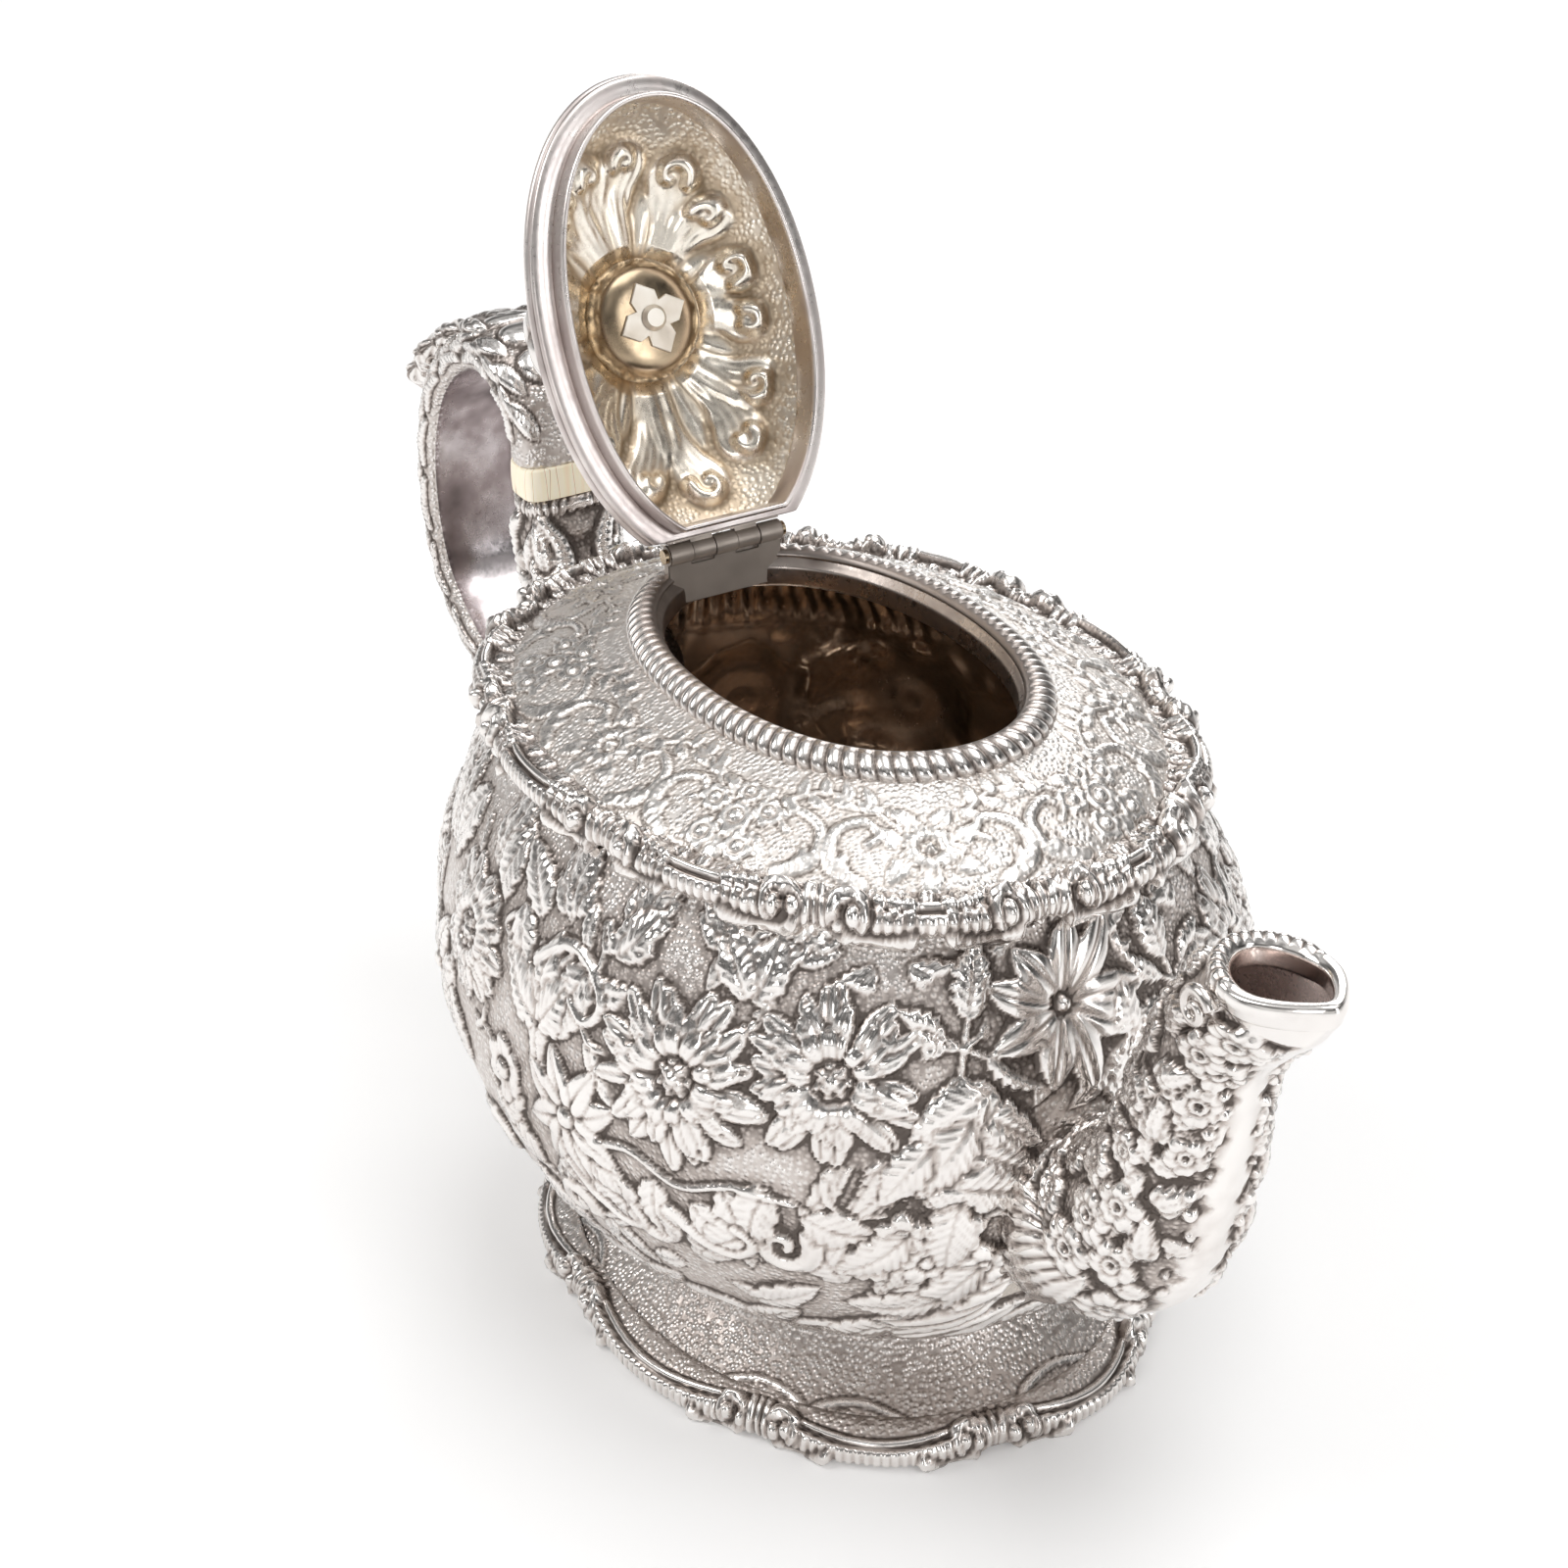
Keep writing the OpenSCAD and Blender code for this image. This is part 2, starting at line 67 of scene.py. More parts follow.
def oval_grid(P, t):
    """Rings P (a, b, z[, cx]) at angles t -> (len(P), len(t), 3)"""
    P = np.asarray(P, float); c, s = se(np.cos(t)), se(np.sin(t))
    cx = P[:, 3:4] if P.shape[1] > 3 else 0
    return np.stack([P[:, :1] * c + cx, P[:, 1:2] * s, P[:, 2:3] + 0 * c], -1)
def normals(G, wrap=True):
    du = (np.roll(G, -1, 1) - np.roll(G, 1, 1)) if wrap else np.gradient(G, axis=1)
    dv = np.gradient(G, axis=0)
    n = np.cross(du, dv); return n / np.maximum(np.linalg.norm(n, axis=-1, keepdims=True), 1e-9)


TAU = 2 * np.pi


def box_blur(A, r, wrap=True):
    """Repeated box blur, r cells either way; the first axis is clamped, the second may wrap."""
    r = max(1, int(round(r)))
    for _ in range(2):
        P = np.pad(A, ((r + 1, r), (0, 0)), "edge")
        c = np.cumsum(P, 0)
        A = (c[2 * r + 1:] - c[:-2 * r - 1]) / (2 * r + 1)
        P = np.pad(A, ((0, 0), (r + 1, r)), "wrap" if wrap else "edge")
        c = np.cumsum(P, 1)
        A = (c[:, 2 * r + 1:] - c[:, :-2 * r - 1]) / (2 * r + 1)
    return A


def value_noise(shape, cell, seed, wrap=True):
    """Smooth noise in 0..1 on a grid, cell cells to a lattice step."""
    rng = np.random.RandomState(seed)
    h, w = shape
    nh, nw = int(h / cell) + 3, max(2, int(round(w / cell)))
    L = rng.rand(nh, nw)
    y, x = np.arange(h) / cell, np.arange(w) * nw / w
    y0, x0 = y.astype(int), x.astype(int)
    fy, fx = y - y0, x - x0
    fy, fx = (fy * fy * (3 - 2 * fy))[:, None], (fx * fx * (3 - 2 * fx))[None]
    x1 = (x0 + 1) % nw
    x0 = x0 % nw
    return (L[np.ix_(y0, x0)] * (1 - fx) + L[np.ix_(y0, x1)] * fx) * (1 - fy) + (L[np.ix_(y0 + 1, x0)] * (1 - fx) + L[np.ix_(y0 + 1, x1)] * fx) * fy


class Relief:
    """A height map in mm over a chart: u runs round (wraps), v runs up. ratio(v) is how much of the chart's u is real length there."""

    def __init__(self, W, H, px, py, ratio=None, wrap=True):
        self.W, self.Hn, self.px, self.py, self.wrap = W, H, px, py, wrap
        self.H = np.zeros((H, W))
        self.ground = np.ones((H, W))
        self.ink = np.zeros((H, W))
        self.ratio = ratio or (lambda v: 1.0)

    def put(self, u, v, R, fn, under=0.3, groove=0.2, soft=0.3):
        q = max(0.2, self.ratio(v))
        i0, i1 = int((u - R / q) / self.px), int((u + R / q) / self.px) + 2
        j0, j1 = max(0, int((v - R) / self.py)), min(self.Hn, int((v + R) / self.py) + 2)
        if not self.wrap:
            i0, i1 = max(0, i0), min(self.W, i1)
        if j1 <= j0 or i1 <= i0:
            return
        iu, iv = np.arange(i0, i1), np.arange(j0, j1)
        X, Y = np.meshgrid((iu * self.px - u) * q, iv * self.py - v)
        h, s = fn(X, Y)
        ix = np.ix_(iv, iu % self.W)
        a = np.clip(s / soft + 0.5, 0, 1)
        a = a * a * (3 - 2 * a)
        H0 = self.H[ix]
        g = np.exp(-((s + 0.26) / 0.24) ** 2)
        self.H[ix] = np.where(a > 0, H0 * (1 - a) + (np.clip(H0, 0, 1.2) * under + h) * a, H0) - groove * g
        self.ground[ix] *= 1 - a
        self.ink[ix] = np.maximum(self.ink[ix] * (1 - a), 0.6 * g)

    # -- stamps ---------------------------------------------------------
    def leaf(self, u, v, ang, L, W, bend=0.0, h=1.3, lobes=0, lob=0.0, vein=1.7, fat=0.8, mid=0.45, curl=0.0, under=0.3, reed=0.0, tip=0.0, vd=0.2, blunt=0.75):
        a = math.radians(ang)
        ca, sa = math.cos(a), math.sin(a)

        def fn(X, Y):
            x, y = X * ca + Y * sa, -X * sa + Y * ca
            y = y - bend * L * (x / L) * np.abs(x / L)
            s01 = np.clip(x / L, 0, 1)
            w = W * np.sin(np.pi * s01 ** fat) ** blunt
            if lobes:
                saw = (s01 * lobes + 0.25 * np.abs(y) / W) % 1.0
                w = w * (1 - lob + lob * np.abs(np.sin(np.pi * saw)) ** 0.6 * 1.2)
            ay = np.abs(y)
            s = np.minimum(w - ay, np.minimum(x, L - x) + 0.2)
            c = np.clip(ay / np.maximum(w, 0.05), 0, 1)
            hh = h * (0.45 + 0.55 * np.sqrt(np.clip(1 - c * c, 0, 1))) * (0.45 + 0.55 * np.sin(np.pi * np.clip(s01, 0.05, 0.95)))
            hh = hh + curl * c ** 3
            hh = hh - mid * np.exp(-(y / 0.42) ** 2) * (s01 < 0.93)
            hh = hh + (vd * np.cos(TAU * (x - 0.8 * ay) / vein) * (c < 0.93) * (c > 0.08) if vein < 40 else 0)
            if reed:
                hh = hh + 0.2 * np.cos(np.pi * reed * y / np.maximum(w, 0.3))
            if tip:
                hh = hh * (1 - tip * 0.5 + tip * s01)
            return hh, s

        self.put(u, v, L * 1.25, fn, under)

    def flower(self, u, v, R, n=12, h=1.6, layers=2, pointed=False, phase=0.0, core=0.26, lines=2, under=0.2):
        for k in range(layers):
            Rk = R * (1 - 0.3 * k)
            nk = n if k == 0 else max(5, n - 2 * k)
            ph = phase + 0.5 * k + 0.17 * k
            hk = h * (0.85 + 0.3 * k)

            def fn(X, Y, Rk=Rk, nk=nk, ph=ph, hk=hk):
                r = np.hypot(X, Y)
                th = np.arctan2(Y, X) / TAU * nk + ph
                idx = np.floor(th)
                f = th - idx - 0.5
                vary = 1 + 0.09 * np.sin(idx * 2.4 + ph * 5)
                x = r / (Rk * vary)
                y = f * (TAU / nk) * r
                if pointed:
                    w = Rk * math.sin(np.pi / nk) * 1.15 * np.sin(np.pi * np.clip(x, 0, 1) ** 0.8) ** 0.9
                else:
                    w = Rk * math.sin(np.pi / nk) * 1.0 * np.clip(x, 0, 1) ** 0.55 * np.sqrt(np.clip(1 - x ** 7, 0, 1))
                w = np.maximum(w, 0)
                s = np.minimum(w - np.abs(y), (1 - x) * Rk)
                s = np.where(x < 0.3, np.maximum(s, (0.3 - x) * Rk), s)
                c = np.clip(np.abs(y) / np.maximum(w, 0.05), 0, 1)
                hh = hk * (0.55 + 0.45 * np.clip(x, 0, 1) ** 1.3 * (1 - 0.35 * np.clip(x, 0, 1) ** 6)) * (0.5 + 0.5 * np.sqrt(np.clip(1 - c ** 2.4, 0, 1)))
                if lines:
                    hh = hh - 0.2 * np.exp(-((c - (0.0 if lines == 1 else 0.36)) / 0.13) ** 2) * (x > 0.3) * (x < 0.92)
                else:
                    hh = hh - 0.35 * np.exp(-(y / 0.5) ** 2) * (x < 0.9)
                hh = hh + 0.25 * hk * np.exp(-((x - 0.92) / 0.08) ** 2) * (1 - c)
                return hh, s

            self.put(u, v, Rk * 1.15, fn, under if k == 0 else 0.55, groove=0.35 if k == 0 else 0.25)
        rc = R * core

        def centre(X, Y):
            r = np.hypot(X, Y)
            hh = h * 1.05 + 0.8 * np.sqrt(np.clip(1 - (r / rc) ** 2, 0, 1)) - 0.25
            hh = hh + 0.22 * np.cos(X * TAU / 1.05) * np.cos(Y * TAU / 1.05) - 0.5 * np.exp(-(r / (rc * 0.3)) ** 2)
            return hh, rc - r

        self.put(u, v, rc * 1.5, centre, 0.0, groove=0.6)

    def clear(self, u, v, r):
        """Wipe back to bare ground round a motif."""
        q = max(0.2, self.ratio(v))
        iu, iv = np.arange(int((u - 1.3 * r / q) / self.px), int((u + 1.3 * r / q) / self.px) + 1), np.arange(max(0, int((v - 1.3 * r) / self.py)), min(self.Hn, int((v + 1.3 * r) / self.py) + 1))
        X, Y = np.meshgrid((iu * self.px - u) * q, iv * self.py - v)
        a = np.clip((r - np.hypot(X, Y)) / 1.2 + 0.5, 0, 1)
        ix = np.ix_(iv, iu % self.W)
        self.H[ix] *= 1 - a
        self.ink[ix] *= 1 - a
        self.ground[ix] = self.ground[ix] * (1 - a) + a

    def daisy(self, u, v, R, n=16, h=1.8, seed=0, layers=3, core=0.2, wide=1.0):
        """Long separate petals laid one over another in rings, with a knobbed centre."""
        rng = np.random.RandomState(seed)
        q = max(0.2, self.ratio(v))
        for k in range(layers):
            Rk, nk = R * (1 - 0.22 * k), max(5, n - 2 * k)
            for i in rng.permutation(nk):
                a = 360.0 * i / nk + rng.uniform(-6, 6) + 11 * k
                L, r0 = Rk * rng.uniform(0.8, 1.0), 0.14 * R
                self.leaf(u + r0 * math.cos(math.radians(a)) / q, v + r0 * math.sin(math.radians(a)), a, L - r0, Rk * 2.35 / nk * wide * rng.uniform(0.85, 1.15), bend=rng.uniform(-0.2, 0.2), h=h * (0.75 + 0.22 * k), vein=50, mid=0.9, fat=1.5, reed=1.4, tip=0.5, curl=0.3, under=0.34, blunt=0.48)
        for j in range(3):
            m = max(1, 7 - 3 * j)
            for i in range(m):
                a, rr = TAU * i / m + j, R * core * (0.72 - 0.36 * j)
                self.bead(u + rr * math.cos(a) / q, v + rr * math.sin(a), R * core * 0.42, h * 0.7 + 0.5, under=0.75)

    def stroke(self, pts, w0, w1, h=1.2, reed=0, under=0.25, hatch=0.0, flat=False):
        """A tapering, rounded ridge along chart points; reed cuts grooves along it, hatch cuts it across."""
        P = np.asarray(pts, float)
        P, L = smooth(P, max(12, int(len(P) * 9)))
        c = P.mean(0)
        q = max(0.2, self.ratio(c[1]))
        D = (P - c) * [q, 1]
        R = np.abs(D).max() + max(w0, w1) + 1.5
        t = np.linspace(0, 1, len(D))
        wd = w0 + (w1 - w0) * t
        arc = t * L

        def fn(X, Y):
            best = np.full(X.shape, 1e9)
            W = np.zeros(X.shape)
            A = np.zeros(X.shape)
            S = np.zeros(X.shape)
            for k in range(len(D) - 1):
                a, b = D[k], D[k + 1]
                ab = b - a
                l2 = max(1e-9, ab @ ab)
                f = np.clip(((X - a[0]) * ab[0] + (Y - a[1]) * ab[1]) / l2, 0, 1)
                dx, dy = X - a[0] - f * ab[0], Y - a[1] - f * ab[1]
                d = np.hypot(dx, dy)
                wk = wd[k] * (1 - f) + wd[k + 1] * f
                near = d / np.maximum(wk, 0.1)
                m = near < best
                best = np.where(m, near, best)
                W = np.where(m, wk, W)
                A = np.where(m, arc[k] + f * (arc[k + 1] - arc[k]), A)
                S = np.where(m, np.sign(ab[0] * dy - ab[1] * dx), S)
            c1 = np.clip(best, 0, 1)
            hh = h * (0.3 + 0.7 * (np.sqrt(np.clip(1 - c1 ** 2, 0, 1)) if not flat else np.clip(1.6 - 1.6 * c1 ** 4, 0, 1)))
            if reed:
                hh = hh + 0.22 * np.cos(TAU * c1 * S * reed * 0.5) * (c1 < 0.92)
            if hatch:
                hh = hh - 0.42 * np.clip(2 * np.cos(TAU * A / hatch), 0, 1) * (c1 < 0.72)
            return hh, (1 - best) * W

        self.put(c[0], c[1], R, fn, under)

    def spiral(self, u, v, r0, turns, ang, w0, w1, h=1.3, ccw=1, reed=2, **k):
        """A volute that starts on radius r0 at angle ang and winds in."""
        t = np.linspace(0, 1, int(10 + 12 * turns))
        r = r0 * (1 - 0.86 * t)
        a = math.radians(ang) + ccw * TAU * turns * t
        q = max(0.2, self.ratio(v))
        self.stroke(np.stack([u + r * np.cos(a) / q, v + r * np.sin(a)], 1), w0, w1, h, reed, **k)

    def bead(self, u, v, r, h=1.2, under=0.5):
        self.put(u, v, r * 1.9, lambda X, Y: (h * np.sqrt(np.clip(1 - (X * X + Y * Y) / (r * r), 0, 1)), r - np.hypot(X, Y)), under, groove=0.4)

    def fern(self, pts, size, h=1.0, step=2.3):
        """A stem with pairs of narrow leaflets."""
        P, L = smooth(np.asarray(pts, float), 60)
        n = max(3, int(L / step))
        for k in range(n):
            i = int(3 + 54 * k / n)
            d = P[i + 1] - P[i - 1]
            a = math.degrees(math.atan2(d[1], d[0]))
            z = size * (1 - 0.65 * k / n)
            for s in (1, -1):
                self.leaf(P[i][0], P[i][1], a + s * 48, z, z * 0.2, bend=-0.18 * s, h=h * 0.8, vein=50, mid=0.25)
        self.stroke(pts, 0.5, 0.3, h * 0.9)

    def acanthus(self, u, v, ang, L, W, bend=0.3, h=1.5, n=5):
        """A lobed leaf whose lobes curl back, along a bent midrib."""
        a = math.radians(ang)
        q = max(0.2, self.ratio(v))
        for k in range(n):
            t = (k + 0.6) / (n + 0.6)
            x = L * t * 0.9
            y = bend * L * t * t * 0.9
            X, Y = x * math.cos(a) - y * math.sin(a), x * math.sin(a) + y * math.cos(a)
            da = math.degrees(math.atan(2 * bend * t))
            z = W * (1.15 - 0.75 * t)
            for s in (1, -1):
                self.leaf(u + X / q, v + Y, ang + da + s * (62 - 24 * t), z, z * 0.34, bend=-0.3 * s, h=h * 0.85, vein=1.4, mid=0.3, curl=0.2)
        self.leaf(u, v, ang, L, W * 0.36, bend=bend, h=h, vein=1.5, mid=0.5)

    def finish(self, grain=0.05, cav_r=1.6, seed=3, matt=0.10, matt_cell=0.9):
        """(height, cavity 0..1, ground 0..1)"""
        H = box_blur(self.H, 0.45 / self.px, self.wrap) * 0.35 + self.H * 0.65 if 0.45 / self.px >= 1 else self.H.copy()
        H = H + matt * self.ground * (value_noise(H.shape, matt_cell / self.px, seed, self.wrap) - 0.5) * 2
        H = H + grain * (value_noise(H.shape, 3.0 / self.px, seed + 1, self.wrap) - 0.5) * 2
        low = box_blur(H, cav_r / self.px, self.wrap)
        fine = box_blur(H, 0.5 / self.px, self.wrap)
        cav = np.clip((low - H) * 0.75, 0, 1) + np.clip((fine - H) * 1.2, 0, 0.6) + 0.4 * self.ink
        return H, np.clip(cav, 0, 1), box_blur(self.ground, 1, self.wrap)


def body_relief(R, P, quick=False):
    """Chased flowers and leaves of the belly. Chart: u in mm round the belly from the spout, v in mm up the profile."""
    rng = np.random.RandomState(11)
    for m in (1, -1):
        A = (lambda a: a) if m == 1 else (lambda a: 180 - a)
        U = lambda u: m * u
        leaf = lambda u, v, a, L, W, bend=0.0, **k: R.leaf(U(u), v, A(a), L, W, bend=bend * m, **k)
        acan = lambda u, v, a, L, W, bend=0.3, **k: R.acanthus(U(u), v, A(a), L, W, bend * m, **k)
        stroke = lambda pts, *a, **k: R.stroke([(U(x), y) for x, y in pts], *a, **k)
        spiral = lambda u, v, r, t, a, w0, w1, ccw=1, **k: R.spiral(U(u), v, r, t, A(a), w0, w1, ccw=ccw * m, **k)
        flower = lambda u, v, r, n, **k: R.flower(U(u), v, r, n, **k)
        # stems and small sprays under everything
        for k in range(84):
            u, v = -rng.uniform(0, 228), rng.uniform(14, 104)
            a = rng.uniform(0, 360)
            leaf(u, v, a, rng.uniform(7, 13), rng.uniform(1.7, 3.0), bend=rng.uniform(-0.3, 0.3), h=1.0, vein=1.5, lobes=rng.randint(3, 7), lob=0.25)
            if k % 3 == 0:
                leaf(u, v, a + 50, 8, 2.0, bend=0.3, h=1.0, vein=1.4)
                leaf(u, v, a - 50, 8, 2.0, bend=-0.3, h=1.0, vein=1.4)
        for k in range(34):
            u, v, a = -rng.uniform(0, 228), rng.uniform(40, 96), rng.uniform(0, TAU)
            stroke([(u + 11 * f * math.cos(a + 1.3 * f), v + 11 * f * math.sin(a + 1.3 * f)) for f in (0, 0.33, 0.66, 1)], 0.7, 0.45, 1.0)
        for (u, v, a, L) in [(-84, 95, 60, 20), (-62, 98, 120, 20), (-52, 100, 40, 16), (-98, 92, 110, 22), (-126, 92, 70, 20), (-146, 84, 120, 20), (-168, 90, 80, 22), (-188, 86, 110, 20), (-208, 92, 70, 22), (-30, 72, 250, 16), (-58, 60, 300, 14)]:
            acan(u, v, a, L, 6.5, 0.25 if a < 100 else -0.25, h=1.2)
        # long scrolls and leaves near the foot
        for k in range(9):
            u = -8 - 25 * k
            stroke([(u, 6), (u - 7, 10), (u - 16, 11), (u - 24, 8)], 2.2, 1.0, 1.3, reed=3)
            leaf(u - 4, 9, 150, 18, 3.2, bend=-0.25, h=1.2, lobes=5, lob=0.35)
            leaf(u - 12, 12, 35, 15, 3.0, bend=0.25, h=1.2)
            spiral(u - 22, 15, 4.2, 1.2, -60, 1.7, 0.8, h=1.4)
            leaf(u - 17, 20, 200, 14, 3.2, bend=0.3, h=1.3, lobes=6, lob=0.3)
            stroke([(u, 24), (u - 8, 28), (u - 17, 26), (u - 22, 20)], 1.8, 0.9, 1.3, reed=2)
            leaf(u - 2, 22, 60, 13, 3.4, bend=-0.2, h=1.4)
        # middle lower zone: curled leaves and buds
        for (u, v, a, L, W, b) in [(-78, 44, 100, 15, 4.0, 0.3), (-86, 47, 150, 13, 3.4, -0.3), (-66, 42, 60, 13, 3.6, 0.3), (-40, 44, 120, 15, 4.4, -0.2), (-34, 40, 60, 15, 4.2, 0.25), (-28, 58, 240, 16, 4.8, 0.15), (-18, 44, 110, 14, 4.0, 0.2), (-104, 44, 130, 14, 4.0, 0.3), (-116, 48, 60, 13, 3.6, -0.3), (-132, 50, 110, 15, 4.2, 0.2), (-150, 46, 70, 14, 4.0, -0.2), (-166, 52, 130, 15, 4.2, 0.3), (-184, 48, 60, 15, 4.4, -0.2), (-200, 50, 110, 14, 4.0, 0.3), (-216, 46, 80, 15, 4.2, 0.2), (-58, 34, 20, 14, 3.6, 0.2), (-96, 34, 160, 14, 3.6, -0.2), (-140, 34, 20, 14, 3.8, 0.2), (-176, 36, 160, 14, 3.8, -0.2)]:
            leaf(u, v, a, L, W, bend=b, h=1.6, lobes=4, lob=0.22, curl=0.2)
        for (u, v, r, a, c) in [(-73, 49, 4.6, 200, 1), (-50, 51, 5.2, 30, -1), (-94, 42, 4.2, 0, 1), (-122, 40, 4.6, 180, -1), (-158, 40, 4.6, 0, 1), (-192, 40, 4.6, 180, -1), (-22, 34, 4.4, 0, 1)]:
            spiral(u, v, r, 1.15, a, 2.0, 0.9, ccw=c, h=1.8)
        # upper band: fronds under the border
        for (u, v, a, L, W, b) in [(-76, 99, 200, 13, 3.0, 0.3), (-90, 88, 240, 15, 4.2, 0.2), (-100, 97, 80, 9, 2.8, 0.0), (-60, 92, 60, 14, 3.2, -0.35), (-54, 94, 120, 12, 2.8, 0.35), (-50, 101, 200, 12, 2.6, 0.3), (-118, 100, 250, 15, 3.6, 0.2), (-112, 90, 300, 13, 3.6, -0.2), (-30, 100, 330, 13, 3.0, 0.3), (2, 102, 200, 14, 3.2, -0.3), (-140, 98, 240, 16, 4.0, 0.2), (-160, 98, 300, 16, 4.0, -0.2), (-180, 100, 240, 15, 3.8, 0.2), (-200, 100, 300, 15, 3.8, -0.2), (-220, 98, 260, 15, 3.8, 0.1)]:
            leaf(u, v, a, L, W, bend=b, h=1.4, lobes=5, lob=0.2)
        # sprig of six pointed leaves
        R.clear(U(-21), 88, 11)
        for (a, L, W, b, st) in [(78, 12.5, 3.6, 0.05, 4.5), (150, 11, 2.9, 0.2, 3.5), (175, 8, 2.2, -0.2, 3), (262, 14, 3.5, 0.05, 4), (335, 11, 3.2, -0.2, 4), (30, 10, 1.8, 0.25, 3)]:
            ca, sa = math.cos(math.radians(a)), math.sin(math.radians(a))
            stroke([(-21, 87), (-21 + st * 0.5 * ca, 87 + st * 0.5 * sa), (-21 + (st + 1) * ca, 87 + (st + 1) * sa)], 0.6, 0.5, 1.3)
            leaf(-21 + st * ca, 87 + st * sa, a, L, W, bend=b, h=2.0, lobes=6, lob=0.3, vein=1.7, mid=0.6, vd=0.32)
        # curled hollow leaf
        for k, (a, z) in enumerate([(70, 14), (100, 16), (128, 15), (158, 13), (40, 11)]):
            leaf(-101, 74, a, z, 4.2, bend=0.3 * (-1) ** k, h=1.6, lobes=4, lob=0.22, vein=1.8, mid=0.6)
        stroke([(-104, 84), (-97, 89), (-90, 88), (-86, 83), (-89, 79), (-93, 81)], 1.3, 0.8, 1.5, reed=2)
        for (x, y, a, z, w) in [(-86, 56, 205, 13, 4.4), (-80, 50, 160, 13, 4.4), (-73, 57, 262, 12, 3.8), (-66, 55, 320, 12, 4.2), (-60, 60, 292, 11, 3.6), (-52, 62, 236, 12, 4.2), (-55, 52, 200, 13, 4.4), (-46, 58, 330, 11, 3.8), (-56, 93, 60, 10, 3.4), (-58, 92, 110, 10, 3.4), (-84, 92, 40, 10, 3.2), (-28, 76, 20, 9, 3.0)]:
            leaf(x, y, a, z, w, bend=0.3, h=1.5, lobes=4, lob=0.2, vein=1.8, mid=0.6)
        stroke([(-88, 58), (-78, 61), (-68, 58), (-58, 61), (-48, 60)], 0.8, 0.6, 1.3)
        stroke([(-70, 52), (-64, 48), (-58, 47), (-55, 50), (-58, 53)], 1.5, 0.7, 1.6, reed=2)
        stroke([(-92, 52), (-86, 47), (-80, 45), (-76, 47), (-78, 50)], 1.5, 0.7, 1.6, reed=2)
        leaf(-106, 90, 120, 13, 4.0, bend=0.3, h=1.5, lobes=4, lob=0.2)
        # flowers
        for k in range(8):
            leaf(-92, 61, 20 + 45 * k + 6 * math.sin(k * 3), 12.5, 2.9, bend=0.12 * (-1) ** k, h=1.6, vein=30, mid=0.6)
        R.bead(U(-92), 61, 2.0, 2.3)
        for (x, y, z) in [(-69, 77, 15), (-42, 82, 14.5), (3, 91, 13), (-128, 78, 13), (-171, 74, 14), (-205, 72, 13.5)]:
            R.clear(U(x), y, z)
        R.daisy(U(-69), 77, 17.0, 18, h=2.2, seed=1, layers=3, core=0.17, wide=0.9)
        R.daisy(U(-42), 82, 16.0, 18, h=2.2, seed=2, layers=3, core=0.17, wide=0.9)
        for k, (a, z) in enumerate([(15, 12), (60, 11), (100, 13), (140, 15), (178, 14), (215, 13), (250, 14), (290, 12), (330, 12)]):
            leaf(3 + 1.5 * math.cos(math.radians(a)), 91 + 1.5 * math.sin(math.radians(a)), a, z, 3.0, bend=0.12 * (-1) ** k, h=2.0, vein=50, mid=0.8, tip=0.4, curl=0.2, fat=1.1, under=0.1)
        R.bead(U(3), 91, 1.3, 2.4)
        R.daisy(U(-128), 78, 14.0, 14, h=1.9, seed=3, layers=3)
        for k in range(6):
            leaf(-147, 62, 60 * k + 10, 12, 3.6, bend=0.12 * (-1) ** k, h=1.6, vein=1.8, mid=0.6)
        R.bead(U(-147), 62, 2.0, 2.3)
        R.daisy(U(-171), 74, 15.5, 16, h=1.9, seed=4, layers=3)
        R.daisy(U(-205), 72, 14.5, 13, h=1.9, seed=5, layers=2, wide=1.25)
        flower(-112, 60, 6.0, 6, h=1.4, layers=1, core=0.3, lines=1)
        flower(-26, 66, 5.0, 6, h=1.4, layers=1, core=0.3, lines=1)
        # ruffled and fluted leaves gathered into the spout's root
        for (u, v, a, L, W, b) in [(-40, 26, 24, 26, 3.0, 0.12), (-38, 31, 20, 24, 2.8, 0.1), (-34, 36, 16, 22, 2.8, 0.08), (-32, 41, 12, 18, 2.6, 0.05), (-36, 21, 28, 26, 2.8, 0.1)]:
            leaf(u, v, a, L, W, bend=b, h=2.6, vein=50, mid=0.9, reed=3.0, tip=0.7, fat=1.3, curl=0.4)
        for (u, v, a, L, W, b) in [(-28, 74, -20, 22, 4.6, -0.15), (-30, 66, -8, 22, 4.4, -0.1), (-24, 80, -30, 18, 3.6, -0.1)]:
            leaf(u, v, a, L, W, bend=b, h=2.4, lobes=6, lob=0.35, vein=1.6, curl=0.7, mid=0.7, vd=0.3)
        for (u, v, r) in [(-27, 50, 4.0), (-22, 56, 3.6), (-31, 56, 3.4), (-18, 48, 3.8), (-36, 49, 3.0)]:
            for k in range(5):
                leaf(u, v, 72 * k + 20, r * 1.3, r * 0.5, h=2.2, vein=50, mid=0.5, fat=1.3, tip=0.4)
            R.bead(U(u), v, r * 0.32, 2.3)
        # leaves and buds round the spout's root
        for (u, v, a, L, W, b) in [(-2, 80, 200, 16, 4.6, 0.2), (-6, 76, 240, 16, 4.4, -0.15), (-12, 72, 220, 13, 3.6, 0.2), (-8, 62, 250, 15, 4.2, 0.2), (-16, 56, 230, 14, 3.8, -0.2), (-4, 48, 220, 16, 4.4, 0.2), (-10, 40, 200, 15, 4.0, -0.2), (-18, 30, 200, 15, 4.0, 0.2), (4, 82, 70, 10, 3.2, 0.2)]:
            leaf(u - 14, v, a, L, W, bend=b, h=1.9, lobes=5, lob=0.22)




